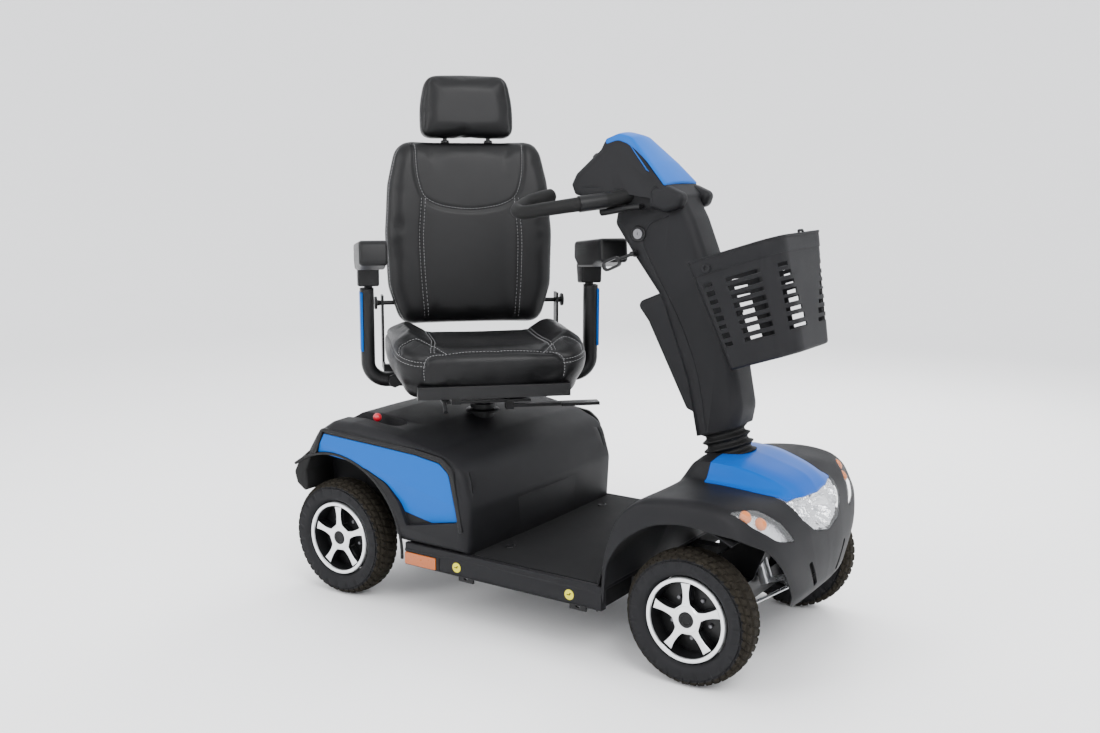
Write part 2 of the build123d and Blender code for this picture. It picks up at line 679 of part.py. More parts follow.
def tilt_lever():
    """Rod with a loop grip that frees the tilt lock."""
    x, y, z = TILT_LEVER_PIVOT
    body = x_cylinder(x - 4, x + 20, y, z, 8) + x_cylinder(x - 18, x - 3, y, z, 6)
    body += rod((x - 12, y, z), (x - 12, y + 44, z - 18), 4)
    grip = Pos(x - 12, y + 56, z - 26) * Rot(0, 90, 0) * Rot(0, 0, 66)
    loop = extrude(SlotOverall(52, 26) - SlotOverall(40, 14), 4, both=True)
    return body + grip * loop


def boot():
    """Rubber bellows between the hood and the foot of the column."""
    turns = 4
    low = -6.0
    high = 60.0
    pitch = (high - low) / turns
    outer = []
    inner = []
    for i in range(turns):
        big = BOOT_BASE_R - 3.0 * i
        z = low + i * pitch
        outer += [(big, z + pitch * 0.25), (big - 9, z + pitch * 0.9)]
        inner += [(big - 3, z + pitch * 0.25), (big - 12, z + pitch * 0.9)]
    outline = [(BOOT_BASE_R - 10, low)] + outer + inner[::-1] + [(BOOT_BASE_R - 13, low)]
    face = make_face(Polyline([(r, 0, z) for r, z in outline], close=True))
    return axis_plane(on_axis(0)) * revolve(face, Axis.Z)


# ---- basket


def basket_loft(shrink, lift):
    """Tapered tub: wide edge at the column, rounded outer corners."""
    levels = []
    for height, rear, front, y_rear, y_front in ((0, 138, 112, 72, -82), (BASKET_H, 174, 136, 85, -118)):
        w = shrink
        corner = [(front + 8 - w, y_front + 34), (front - 22 - w, y_front + w)]
        outline = mirrored([(rear - w, y_rear - w)] + corner)
        rise = height + (lift if height == 0 else 0.5 * (shrink > 0))
        levels.append(make_face(Polyline([(x, y, rise) for x, y in outline], close=True)))
    return loft(levels)


def basket_place(shape):
    return Pos(*BASKET_LOW) * Rot(-BASKET_LEAN, 0, 0) * shape


def basket():
    tub = basket_loft(0, 0) - basket_loft(BASKET_WALL, BASKET_WALL)
    for i in range(6):
        z = 42 + 27 * i
        tub -= Pos(0, -20, z) * Box(500, 120, 11)
        tub -= Pos(0, -100, z) * Box(150, 100, 11)
    rim_outer = basket_loft(-2.5, 0) & Pos(0, 0, BASKET_H - 16) * Box(500, 500, 32)
    tub += rim_outer - basket_loft(0, 0)
    return basket_place(tub)


def basket_bracket():
    """Two steel arms from the column to the back of the basket."""
    shapes = []
    for side in (-1, 1):
        x = side * 30
        shapes.append(block(x - 8, x + 8, -478, -380, 770, 782))
    return shapes


def bracket_pads():
    wall = basket_place(basket_loft(0, 0))
    return [piece - wall for piece in basket_bracket()]


# ---- seat
def seat_post():
    post = rod((0, 0, 302), (0, 0, 506), POST_R)
    collar = rod((0, 0, 470 + FACE_GAP), (0, 0, 480), 34)
    plate = block(-110, 110, -105, 105, 500, 507)
    return seat_frame_to_world(post + collar + plate)


def seat_base():
    """Sliding seat frame: rails, pan, cross tube for the arms and the back hinge uprights."""
    body = block(-190, 190, -215, 165, 534, CUSHION_Z0 - FACE_GAP)
    body += block(-100, -76, -150, 150, 507 + FACE_GAP, 535)
    body += block(76, 100, -60, 150, 507 + FACE_GAP, 535)
    for side in (-1, 1):
        x = side * (BACK_HALF + 8)
        body += block(x - 3, x + 3, -HINGE_BACK - 26, -HINGE_BACK + 14, 540, HINGE_Z + 22)
        body += block(min(x, side * 180), max(x, side * 180), -HINGE_BACK - 76, -HINGE_BACK - 60, 540, 560)
        body += block(x - 3, x + 3, -HINGE_BACK - 76, -HINGE_BACK + 14, 540, 560)
    bolt = x_cylinder(-BACK_HALF - 16, BACK_HALF + 16, -HINGE_BACK, HINGE_Z, 6)
    return seat_frame_to_world(body + bolt)


def slide_lever():
    z = 534 - 5 - FACE_GAP
    bar = tube_path([(-128, -100, z), (-128, -236, z), (-128, -262, z - 16)], 5, [14])
    return seat_frame_to_world(bar)


def swivel_lever():
    bar = block(52, 200, -96, -80, 484, 492) + block(190, 292, -106, -70, 484, 492)
    return seat_frame_to_world(bar + block(46, 66, -100, -76, 480, 500 - FACE_GAP))


def seat_cushion():
    pad = block(-CUSHION_HALF, CUSHION_HALF, -CUSHION_FRONT, -CUSHION_REAR, CUSHION_Z0, CUSHION_Z1)
    return seat_frame_to_world(fillet(pad.edges(), 24))


def back_place(shape):
    """From the backrest's own frame, origin on its hinge, to its leaning place."""
    return seat_frame_to_world(Pos(0, -HINGE_BACK, HINGE_Z) * Rot(-BACK_LEAN, 0, 0) * shape)


BACK_FRONT = -(BACK_FACE - HINGE_BACK)


def backrest():
    z0 = BACK_Z0 - HINGE_Z
    z1 = BACK_Z1 - HINGE_Z
    half = BACK_HALF
    top = [(half - 12, z1 - 90), (half - 52, z1)]
    outline = mirrored([(half - 40, z0), (half - 4, z0 + 60), (half, z0 + 230)] + top)
    pad = front_prism(outline, BACK_FRONT, BACK_FRONT + BACK_T)
    pad = fillet(pad.edges(), 18)
    pad -= x_cylinder(-half - 20, half + 20, 0, 0, 6 + RUN_CLEARANCE)
    for side in (-1, 1):
        x = side * HEADREST_POST_X
        pad -= rod((x, HEAD_Y, z1 - 200), (x, HEAD_Y, z1 + 40), HEADREST_POST_R + RUN_CLEARANCE)
    return back_place(pad)


HEAD_Y = BACK_FRONT + BACK_T / 2 + 6


def headrest():
    z0 = BACK_Z1 - HINGE_Z + 26
    half = HEADREST_HALF
    outline = mirrored([(half, z0), (half - 14, z0 + HEADREST_H)])
    pad = front_prism(outline, HEAD_Y - HEADREST_T / 2, HEAD_Y + HEADREST_T / 2)
    pad = fillet(pad.edges(), 22)
    for side in (-1, 1):
        x = side * HEADREST_POST_X
        pad += rod((x, HEAD_Y, z0 - 190), (x, HEAD_Y, z0 + 10), HEADREST_POST_R)
    return back_place(pad)


def arm_bracket(side):
    """Arm from under the cushion, curving up to the pad's pivot."""
    y = -ARM_BACK
    low = 545.0
    centre = side * (ARM_X + 4 - ARM_BEND_R)
    half = ARM_TUBE_T / 2
    corner = Pos(centre, y, low + ARM_BEND_R) * Rot(90, 0, 0)
    bend = corner * (Cylinder(ARM_BEND_R + half, ARM_TUBE_W) - Cylinder(ARM_BEND_R - half, ARM_TUBE_W))
    x_far = side * 400
    bend = bend & block(min(centre, x_far), max(centre, x_far), y - 50, y + 50, 0, low + ARM_BEND_R)
    x_in = side * 190
    y0, y1 = y - ARM_TUBE_W / 2, y + ARM_TUBE_W / 2
    x_mid = side * (ARM_X + 4)
    body = block(min(x_in, centre), max(x_in, centre), y0, y1, low - half, low + half) + bend
    body += block(x_mid - half, x_mid + half, y0, y1, low + ARM_BEND_R, ARM_PIVOT_Z - 20)
    x = side * ARM_X
    body += rod((x, y, ARM_PIVOT_Z - 22), (x, y, ARM_PIVOT_Z), 11)
    body += x_cylinder(x - 13, x + 13, y, ARM_PIVOT_Z, 15)
    return body - x_cylinder(x - 40, x + 40, y, ARM_PIVOT_Z, 6 + RUN_CLEARANCE)


def arm_brackets():
    return [seat_frame_to_world(arm_bracket(side)) for side in (-1, 1)]


def arm_pad(side):
    x = side * ARM_X
    y = -ARM_BACK
    pad = block(-ARM_PAD_HALF, ARM_PAD_HALF, -ARM_PAD_LENGTH + 34, 34, 24, 24 + ARM_PAD_H)
    pad = fillet(pad.edges(), 9)
    for s in (-1, 1):
        pad += block(s * 17 - 3, s * 17 + 3, -18, 18, -14, 26)
    pad += x_cylinder(-20, 20, 0, 0, 6)
    return seat_frame_to_world(Pos(x, y, ARM_PIVOT_Z) * Rot(-ARM_PAD_RISE, 0, 0) * pad)


def freewheel_lever():
    x, y, z = FREEWHEEL_PIVOT
    knob = (x, y - 15, z + 67)
    hub = x_cylinder(x - 5, x + 5, y, z, 9) + x_cylinder(x - 12, x + 12, y, z, FREEWHEEL_PIN_R)
    return hub + rod((x, y - 1, z + 4), knob, 4) + Pos(*knob) * Sphere(11)


def main():
    os.makedirs("parts", exist_ok=True)
    wheels()
    pieces = {
        "main_frame": main_frame(), "steering_head": steering_head(), "seat_tower": seat_tower(),
        "floor_pan": floor_pan(), "side_reflectors": side_reflectors(), "floor_mat": floor_mat(),
        "tie_down_eyes": tie_down_eyes(), "batteries": batteries(), "controller": controller(),
        "transaxle": transaxle(), "front_axle": front_axle(), "front_shroud": front_shroud(),
        "hood_panel": hood_panel(), "indicator_lenses": indicator_lenses(),
        "headlamp_lens": headlamp_lens(), "headlamp_reflector": headlamp_reflector(),
        "rear_cover": rear_cover(), "side_panels": both_sides(side_panel()),
        "rear_bumper": rear_bumper(), "tail_lamps": tail_lamps(), "freewheel_lever": freewheel_lever(),
        "knuckle_left": knuckle(1), "knuckle_right": knuckle(-1),
        "tie_rod_left": tie_rod(1), "tie_rod_right": tie_rod(-1), "steering_shaft": steering_shaft(),
        "tiller_tube": tiller_tube(), "column_cover": column_cover(), "column_pod": column_pod(),
        "control_head": control_head(), "head_panel": head_panel(), "handlebar": handlebar_path(BAR_R),
        "dash_display": dash_display(), "speed_dial": speed_dial(), "horn_button": dash_button(-BUTTON_X),
        "lamp_button": dash_button(BUTTON_X), "drive_lever": drive_lever(), "key_lock": key_lock(),
        "tilt_lever": tilt_lever(), "boot": boot(), "basket": basket(), "basket_bracket": bracket_pads(),
        "seat_post": seat_post(), "seat_base": seat_base(), "slide_lever": slide_lever(),
        "swivel_lever": swivel_lever(), "seat_cushion": seat_cushion(), "backrest": backrest(),
        "headrest": headrest(), "arm_brackets": arm_brackets(),
        "arm_pad_left": arm_pad(1), "arm_pad_right": arm_pad(-1),
    }
    for name, shape in pieces.items():
        write(name, shape)


main()
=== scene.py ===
import bpy
import bmesh
import math
from mathutils import Matrix, Quaternion, Vector
from mathutils.bvhtree import BVHTree
from mathutils.kdtree import KDTree


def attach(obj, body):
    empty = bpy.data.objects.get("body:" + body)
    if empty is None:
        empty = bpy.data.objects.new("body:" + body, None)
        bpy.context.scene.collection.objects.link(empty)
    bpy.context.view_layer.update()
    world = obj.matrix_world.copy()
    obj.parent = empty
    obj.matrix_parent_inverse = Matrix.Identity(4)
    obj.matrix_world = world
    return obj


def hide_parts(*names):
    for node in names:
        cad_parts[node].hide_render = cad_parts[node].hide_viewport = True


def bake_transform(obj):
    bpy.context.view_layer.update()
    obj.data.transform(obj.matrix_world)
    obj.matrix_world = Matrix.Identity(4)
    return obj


# Looks of a four-wheel mobility scooter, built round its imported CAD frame.
# Points and sizes are in millimetres, as in the CAD, and meshes are made in metres.
# +Z is up, the ground is z = 0, the nose points along -Y and the rider's left is +X.

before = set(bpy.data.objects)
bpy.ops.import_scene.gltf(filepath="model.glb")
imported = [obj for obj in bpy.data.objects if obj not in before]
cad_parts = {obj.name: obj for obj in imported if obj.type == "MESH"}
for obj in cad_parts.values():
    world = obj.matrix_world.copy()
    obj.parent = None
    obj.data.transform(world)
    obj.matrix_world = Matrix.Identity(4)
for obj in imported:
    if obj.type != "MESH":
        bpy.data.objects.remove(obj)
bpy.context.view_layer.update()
MM = 0.001

# ---- sizes shared by several pieces
AXLE_Y = 500.0
HALF_TRACK = 285.0
TYRE_R = 150.0
TYRE_HALF = 40.0
RIM_R = 94.5
BODY_HALF = 333.0
DECK_Z = 184.0
ARCH_R = 214.0
REAR_ARCH_R = 224.0
FRONT_WELL_X = 176.0
REAR_WELL_X = 232.0
RAKE = math.radians(19.0)
BOOT_CENTRE = Vector((0, -447, 443))
STEER_DIR = Vector((0, math.sin(RAKE), math.cos(RAKE)))
SEAT_POST_Y = 272.0
SEAT_PLACE = Matrix.Translation((0, SEAT_POST_Y, 0)) @ Matrix.Rotation(math.radians(-45), 4, "Z")
BACK_PLACE = SEAT_PLACE @ Matrix.Translation((0, 240, 720)) @ Matrix.Rotation(math.radians(-6), 4, "X")


# ---- mesh helpers
def new_object(name, points, faces):
    """Mesh object from points in millimetres."""
    mesh = bpy.data.meshes.new(name)
    mesh.from_pydata([Vector(p) * MM for p in points], [], faces)
    mesh.validate()
    obj = bpy.data.objects.new(name, mesh)
    bpy.context.scene.collection.objects.link(obj)
    fix_normals(obj)
    return obj


def fix_normals(obj):
    bm = bmesh.new()
    bm.from_mesh(obj.data)
    bmesh.ops.remove_doubles(bm, verts=bm.verts, dist=1e-6)
    bmesh.ops.recalc_face_normals(bm, faces=bm.faces)
    bm.to_mesh(obj.data)
    bm.free()


def paint(obj, material):
    """Add a material to a piece, and hand the piece back."""
    obj.data.materials.append(material)
    return obj


def dress(obj, body, material, replaces=(), sharp=35.0):
    """Give a finished piece its material and body, and hide the CAD nodes it stands for."""
    if not obj.data.materials:
        paint(obj, material)
    obj.data.shade_smooth()
    obj.data.set_sharp_from_angle(angle=math.radians(sharp))
    if body:
        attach(obj, body)
    if replaces:
        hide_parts(*replaces)
    return obj


def bake(obj):
    """Apply every modifier."""
    graph = bpy.context.evaluated_depsgraph_get()
    mesh = bpy.data.meshes.new_from_object(obj.evaluated_get(graph))
    obj.modifiers.clear()
    obj.data = mesh
    return obj


def boolean(obj, tool, operation="DIFFERENCE", keep_tool=False):
    """Cut a piece with a tool, or keep what they share."""
    modifier = obj.modifiers.new("boolean", "BOOLEAN")
    modifier.operation = operation
    modifier.solver = "EXACT"
    modifier.object = tool
    bake(obj)
    if not obj.data.polygons:
        raise ValueError(f"{operation} with {tool.name} left nothing of {obj.name}")
    if not keep_tool:
        bpy.data.objects.remove(tool)
    return obj


def thicken(obj, wall, offset=-1.0):
    """Give an open sheet a wall."""
    modifier = obj.modifiers.new("wall", "SOLIDIFY")
    modifier.thickness = wall * MM
    modifier.offset = offset
    modifier.use_even_offset = True
    return bake(obj)


def bevel(obj, width, segments=3, angle=40.0):
    """Round the edges sharper than an angle."""
    modifier = obj.modifiers.new("bevel", "BEVEL")
    modifier.width = width * MM
    modifier.segments = segments
    modifier.limit_method = "ANGLE"
    modifier.angle_limit = math.radians(angle)
    modifier.harden_normals = False
    return bake(obj)


def subdivide(obj, levels):
    modifier = obj.modifiers.new("smooth", "SUBSURF")
    modifier.levels = levels
    modifier.render_levels = levels
    return bake(obj)


def join(name, objects):
    """Objects joined into the first, which keeps all their materials."""
    first = objects[0]
    with bpy.context.temp_override(active_object=first, selected_editable_objects=objects):
        bpy.ops.object.join()
    first.name = name
    return first


def move(obj, matrix):
    """Transform the mesh itself by a matrix whose lengths are millimetres."""
    scaled = matrix.copy()
    scaled.translation = matrix.translation * MM
    obj.data.transform(scaled)
    return obj


def remesh(obj, voxel):
    """Rebuild the mesh in even faces of about a voxel's size."""
    obj.data.remesh_voxel_size = voxel * MM
    with bpy.context.temp_override(active_object=obj, object=obj, selected_objects=[obj]):
        bpy.ops.object.voxel_remesh()
    return obj


def span(side, near, far):
    """The lower and the upper of two distances from the middle plane, on one side of it."""
    return sorted((side * near, side * far))


def clamp(value):
    return max(0.0, min(1.0, value))


# ---- curves and outlines
def slopes(values):
    """Tangents that pass smoothly through the values with no overshoot."""
    steps = [b - a for a, b in zip(values, values[1:])]
    inner = [2 * a * b / (a + b) if a * b > 0 else 0.0 for a, b in zip(steps, steps[1:])]
    return [steps[0]] + inner + [steps[-1]]


def smooth_line(points, per_span):
    """A smooth line through every point."""
    tangents = list(zip(*[slopes([p[k] for p in points]) for k in range(3)]))
    line = []
    for i in range(len(points) - 1):
        p0, p1 = Vector(points[i]), Vector(points[i + 1])
        t0, t1 = Vector(tangents[i]), Vector(tangents[i + 1])
        for j in range(per_span):
            t = j / per_span
            line.append(
                p0 * (2 * t**3 - 3 * t**2 + 1) + t0 * (t**3 - 2 * t**2 + t)
                + p1 * (3 * t**2 - 2 * t**3) + t1 * (t**3 - t**2)
            )
    return line + [Vector(points[-1])]


def rounded(corners, arc=6):
    """Closed outline of (a, b, radius) corners with each corner turned into an arc."""
    out = []
    count = len(corners)
    for i, (a, b, radius) in enumerate(corners):
        here = Vector((a, b))
        before = Vector(corners[i - 1][:2]) - here
        after = Vector(corners[(i + 1) % count][:2]) - here
        half = before.angle(after) / 2
        if radius < 0.01 or half > math.radians(89.5):
            out.append(here)
            continue
        reach = min(radius / math.tan(half), before.length * 0.48, after.length * 0.48)
        radius = reach * math.tan(half)
        bisector = (before.normalized() + after.normalized()).normalized()
        centre = here + bisector * (radius / math.sin(half))
        start = here + before.normalized() * reach - centre
        turn = start.angle_signed(here + after.normalized() * reach - centre)
        for k in range(arc + 1):
            out.append(centre + Matrix.Rotation(-turn * k / arc, 2) @ start)
    return out


def drawn_in(shape, by, arc=6):
    """Outline drawn in by a distance: (a, b, radius) corners keep their arcs, plain points are shifted."""
    if len(shape[0]) == 2:
        return inset(shape, by)
    corners = [Vector(c[:2]) for c in shape]
    moved = inset(corners, by)
    count = len(corners)
    area = sum(corners[i - 1].x * corners[i].y - corners[i].x * corners[i - 1].y for i in range(count))
    out = []
    for i, (*_, radius) in enumerate(shape):
        into = corners[i] - corners[i - 1]
        away = corners[(i + 1) % count] - corners[i]
        convex = (into.x * away.y - into.y * away.x) * area > 0
        left = radius - by if convex else radius + by
        out.append((moved[i].x, moved[i].y, max(0.4, left) if radius else 0))
    return rounded(out, arc)


def inset(outline, by):
    """Outline drawn in by a distance, corner by corner."""
    count = len(outline)
    area = sum(outline[i - 1].x * outline[i].y - outline[i].x * outline[i - 1].y for i in range(count))
    turn = math.copysign(1.0, area)
    out = []
    for i in range(count):
        a = (outline[i] - outline[i - 1]).normalized()
        b = (outline[(i + 1) % count] - outline[i]).normalized()
        normal = Vector((-a.y - b.y, a.x + b.x)).normalized() * turn
        square = max(0.5, normal.dot(Vector((-a.y, a.x)) * turn))
        out.append(outline[i] + normal * (by / square))
    return out


def close_rings(rings):
    """Faces of a stack of closed rings with both ends filled."""
    count = len(rings[0])
    points = [p for ring in rings for p in ring]
    faces = []
    for r in range(len(rings) - 1):
        for i in range(count):
            j = (i + 1) % count
            faces.append((r * count + i, r * count + j, (r + 1) * count + j, (r + 1) * count + i))
    faces.append(tuple(range(count)))
    faces.append(tuple(range((len(rings) - 1) * count, len(rings) * count)))
    return points, faces


AXIS_MAPS = {
    "X": lambda a, b, d: (d, a, b),
    "Y": lambda a, b, d: (a, d, b),
    "Z": lambda a, b, d: (a, b, d),
}


def moulding(name, outline, low, high, edge=4.0, axis="X", steps=5, middle=1, arc=6):
    """Outline extruded along an axis from low to high, with rounded rims at both ends."""
    place = AXIS_MAPS[axis]
    rings = []
    for k in range(steps + 1):
        angle = math.pi / 2 * k / steps
        drawn = drawn_in(outline, edge * (1 - math.sin(angle)), arc)
        rings.append([place(p.x, p.y, low + edge * (1 - math.cos(angle))) for p in drawn])
    for k in range(1, middle):
        depth = low + edge + (high - low - 2 * edge) * k / middle
        rings.append([place(p.x, p.y, depth) for p in drawn_in(outline, 0, arc)])
    for k in range(steps, -1, -1):
        angle = math.pi / 2 * k / steps
        drawn = drawn_in(outline, edge * (1 - math.sin(angle)), arc)
        rings.append([place(p.x, p.y, high - edge * (1 - math.cos(angle))) for p in drawn])
    return new_object(name, *close_rings(rings))


def block(name, low, high, edge=1.5):
    """Box between two corners with rounded edges."""
    low, high = ([f(a, b) for a, b in zip(low, high)] for f in (min, max))
    corners = [(low[1], low[2]), (high[1], low[2]), (high[1], high[2]), (low[1], high[2])]
    return moulding(name, [(y, z, edge) for y, z in corners], low[0], high[0], edge, steps=3, arc=3)


def sheet_grid(name, rows):
    """Open sheet through rows of equal length."""
    width = len(rows[0])
    points = [p for row in rows for p in row]
    faces = [
        (r * width + i, r * width + i + 1, (r + 1) * width + i + 1, (r + 1) * width + i)
        for r in range(len(rows) - 1)
        for i in range(width - 1)
    ]
    return new_object(name, points, faces)


def sweep(name, line, radius, sides=20, squash=1.0, up=(0, 0, 1)):
    """Closed tube along a line; radius is a number or a function of the share along it."""
    size = radius if callable(radius) else lambda share: radius
    rings = []
    total = len(line) - 1
    for i, p in enumerate(line):
        ahead = (line[min(i + 1, total)] - line[max(i - 1, 0)]).normalized()
        side = ahead.cross(Vector(up)).normalized()
        lift = side.cross(ahead)
        r = size(i / total)
        angles = [2 * math.pi * k / sides for k in range(sides)]
        rings.append([p + side * (r * math.cos(a)) + lift * (r * squash * math.sin(a)) for a in angles])
    return new_object(name, *close_rings(rings))


def round_ends(radius, length, cap=None):
    """Radius function of a tube of a length whose ends are domed."""
    reach = cap or radius

    def size(share):
        gap = min(share, 1 - share) * length
        if gap >= reach:
            return radius
        return max(0.05 * radius, radius * math.sqrt(max(0.0, 1 - (1 - gap / reach) ** 2)))

    return size


def lathe(name, profile, turns=96, closed=True):
    """Profile of (radius, height) points turned about Z."""
    rings = []
    for i in range(turns):
        angle = 2 * math.pi * i / turns
        rings.append([(r * math.cos(angle), r * math.sin(angle), z) for r, z in profile])
    count = len(profile)
    points = [p for ring in rings for p in ring]
    faces = []
    for i in range(turns):
        for j in range(count if closed else count - 1):
            a, b = i * count + j, i * count + (j + 1) % count
            c, d = ((i + 1) % turns) * count + (j + 1) % count, ((i + 1) % turns) * count + j
            faces.append((a, b, c, d))
    return new_object(name, points, faces)


def capsule_row(name, line, length, gap, radius):
    """A row of short stitches along a line, with a gap after each."""
    points, faces = [], []
    travelled, start = 0.0, line[0]
    for last, p in zip(line, line[1:]):
        travelled += (p - last).length
        if start is None and travelled >= gap:
            start, travelled = p, 0.0
        elif start is not None and travelled >= length:
            add_stitch(points, faces, start, p, radius)
            start, travelled = None, 0.0
    return new_object(name, points, faces)


def add_stitch(points, faces, start, end, radius):
    """One stitch: a short bar with six sides and tapered ends."""
    ahead = (end - start).normalized()
    side = ahead.orthogonal().normalized()
    lift = side.cross(ahead)
    first = len(points)
    for share, width in ((0.0, 0.4), (0.25, 1.0), (0.75, 1.0), (1.0, 0.4)):
        centre = start.lerp(end, share)
        for k in range(6):
            angle = math.pi / 3 * k
            points.append(centre + (side * math.cos(angle) + lift * math.sin(angle)) * radius * width)
    for r in range(3):
        for k in range(6):
            a, b = first + r * 6 + k, first + r * 6 + (k + 1) % 6
            faces.append((a, b, b + 6, a + 6))
    faces.append(tuple(first + k for k in range(6)))
    faces.append(tuple(first + 18 + k for k in range(6)))


# ---- materials
def node(tree, kind, **inputs):
    """Shader node with some of its inputs set."""
    made = tree.nodes.new(kind)
    for key, value in inputs.items():
        made.inputs[key.replace("_", " ")].default_value = value
    return made


def finish_material(name, colour, rough, metal=0.0, spread=0.08, tint=0.15, mottle=14.0,
                    grain=900.0, bump=0.15, depth=0.0004, coat=0.0, cells=False, sheen=0.0,
                    alpha=1.0, transmission=0.0, ior=1.5, specular=0.5):
    """Surface whose colour, roughness and relief vary at the scale of its real grain."""
    made = bpy.data.materials.new(name)
    made.use_nodes = True
    tree = made.node_tree
    shader = tree.nodes["Principled BSDF"]
    place = tree.nodes.new("ShaderNodeTexCoord")
    blotch = node(tree, "ShaderNodeTexNoise", Scale=mottle, Detail=4.0)
    tree.links.new(place.outputs["Object"], blotch.inputs["Vector"])
    shade = tree.nodes.new("ShaderNodeMix")
    shade.data_type = "RGBA"
    dark = [max(0.0, c * (1 - tint)) for c in colour]
    light = [min(1.0, c * (1 + tint) + 0.002) for c in colour]
    shade.inputs["A"].default_value = (*dark, 1)
    shade.inputs["B"].default_value = (*light, 1)
    tree.links.new(blotch.outputs["Fac"], shade.inputs["Factor"])
    tree.links.new(shade.outputs["Result"], shader.inputs["Base Color"])
    polish = node(tree, "ShaderNodeMapRange", To_Min=max(0.02, rough - spread),
                  To_Max=min(1.0, rough + spread))
    tree.links.new(blotch.outputs["Fac"], polish.inputs["Value"])
    tree.links.new(polish.outputs["Result"], shader.inputs["Roughness"])
    if cells:
        relief = tree.nodes.new("ShaderNodeTexVoronoi")
        relief.feature = "DISTANCE_TO_EDGE"
        relief.inputs["Scale"].default_value = grain
        height = relief.outputs["Distance"]
    else:
        relief = node(tree, "ShaderNodeTexNoise", Scale=grain, Detail=3.0)
        height = relief.outputs["Fac"]
    tree.links.new(place.outputs["Object"], relief.inputs["Vector"])
    ripple = node(tree, "ShaderNodeBump", Strength=bump, Distance=depth)
    tree.links.new(height, ripple.inputs["Height"])
    tree.links.new(ripple.outputs["Normal"], shader.inputs["Normal"])
    shader.inputs["Metallic"].default_value = metal
    shader.inputs["Coat Weight"].default_value = coat
    shader.inputs["Coat Roughness"].default_value = 0.05
    shader.inputs["Sheen Weight"].default_value = sheen
    shader.inputs["Alpha"].default_value = alpha
    shader.inputs["Transmission Weight"].default_value = transmission
    shader.inputs["IOR"].default_value = ior
    shader.inputs["Specular IOR Level"].default_value = specular
    return made


PLASTIC = finish_material("moulded_plastic", (0.0055, 0.0055, 0.0065), 0.56, grain=1100, bump=0.35,
                          depth=0.0005, specular=0.17)
PLASTIC_FINE = finish_material("smooth_plastic", (0.004, 0.004, 0.0045), 0.42, grain=1600, bump=0.15,
                               specular=0.2)
DARK = finish_material("inner_plastic", (0.004, 0.004, 0.0045), 0.8, grain=700, bump=0.3, specular=0.15)
RUBBER = finish_material("rubber", (0.0045, 0.0045, 0.0045), 0.62, grain=600, bump=0.3, specular=0.17)
MAT = finish_material("floor_mat_rubber", (0.0055, 0.0055, 0.006), 0.75, specular=0.14, grain=420,
                      bump=0.6, depth=0.0008, cells=True)
TYRE = finish_material("tyre_rubber", (0.0075, 0.0075, 0.0085), 0.7, specular=0.17, tint=0.25, mottle=22,
                       grain=500, bump=0.25)
TREAD = finish_material("dusty_tread", (0.0125, 0.0105, 0.0075), 0.85, specular=0.1, tint=0.7, mottle=55,
                        grain=380, bump=0.5)
LEATHER = finish_material("black_leather", (0.0018, 0.0018, 0.0022), 0.4, specular=0.24, spread=0.06,
                          grain=560, bump=0.4, depth=0.0007, cells=True)
THREAD = finish_material("grey_thread", (0.2, 0.2, 0.205), 0.7, grain=3000, bump=0.6)
BLUE = finish_material("blue_paint", (0.0, 0.082, 0.36), 0.4, metal=0.0, spread=0.03, tint=0.06,
                       mottle=900, grain=60, bump=0.02, coat=0.03, specular=0.08)
HOOD_BLUE = finish_material("hood_paint", (0.0, 0.066, 0.33), 0.36, metal=0.0, spread=0.03, tint=0.06,
                            mottle=900, grain=60, bump=0.02, coat=0.05, specular=0.08)
SILVER = finish_material("machined_alloy", (0.78, 0.79, 0.80), 0.3, metal=0.85, tint=0.05, mottle=300,
                         grain=1500, bump=0.08)
RIM_BLACK = finish_material("rim_black", (0.004, 0.004, 0.0045), 0.35, grain=400, bump=0.1, specular=0.3)
STEEL = finish_material("dark_steel", (0.004, 0.004, 0.0045), 0.42, metal=0.0, specular=0.25, grain=260,
                        bump=0.25)
CASTING = finish_material("grey_casting", (0.16, 0.16, 0.17), 0.5, metal=0.6, grain=240, bump=0.4)
ZINC = finish_material("bright_zinc", (0.62, 0.63, 0.65), 0.28, metal=0.9, tint=0.1, grain=700, bump=0.1)
LENS = finish_material("clear_lens", (0.86, 0.88, 0.9), 0.06, tint=0.02, mottle=60, grain=90, bump=0.15,
                       coat=0.5, alpha=0.05)
CHROME = finish_material("reflector_chrome", (0.62, 0.63, 0.65), 0.12, metal=1.0, tint=0.12, mottle=120,
                         grain=170, bump=0.6, depth=0.002, cells=True)
AMBER = finish_material("amber_lens", (0.34, 0.072, 0.0), 0.3, tint=0.12, mottle=120, grain=330, bump=0.7,
                        depth=0.001, cells=True, coat=0.4)
BULB = finish_material("amber_bulb", (0.45, 0.11, 0.0), 0.35, tint=0.15, mottle=90, grain=300, bump=0.2,
                       specular=0.15)
RED = finish_material("red_lens", (0.45, 0.008, 0.008), 0.22, grain=330, bump=0.6, cells=True, coat=1.0)
RED_KNOB = finish_material("red_knob", (0.5, 0.006, 0.02), 0.35, grain=900, bump=0.2, coat=0.3)
YELLOW = finish_material("yellow_disc", (0.62, 0.56, 0.0), 0.5, grain=900, bump=0.1)
GLASS_DARK = finish_material("display_glass", (0.012, 0.016, 0.018), 0.12, grain=300, bump=0.02, coat=1.0)
FLOOR = finish_material("studio_paper", (0.86, 0.86, 0.865), 0.85, tint=0.01, mottle=2, grain=120,
                        bump=0.03)


# ---- wheels
TREAD_ROWS = 5
TREAD_BLOCKS = 46
TREAD_STEPS = 8           # grid steps along one block
TREAD_DEPTH = 4.5
TREAD_SHARE = 0.52        # half of the profile that carries the tread, as a share of it
LUG_DEPTH = 2.2
GROOVE = 0.17             # groove, as a share of a block's pitch
CARCASS_R = 121.5         # radius at which the tyre is widest
PROFILE_STEPS = 64


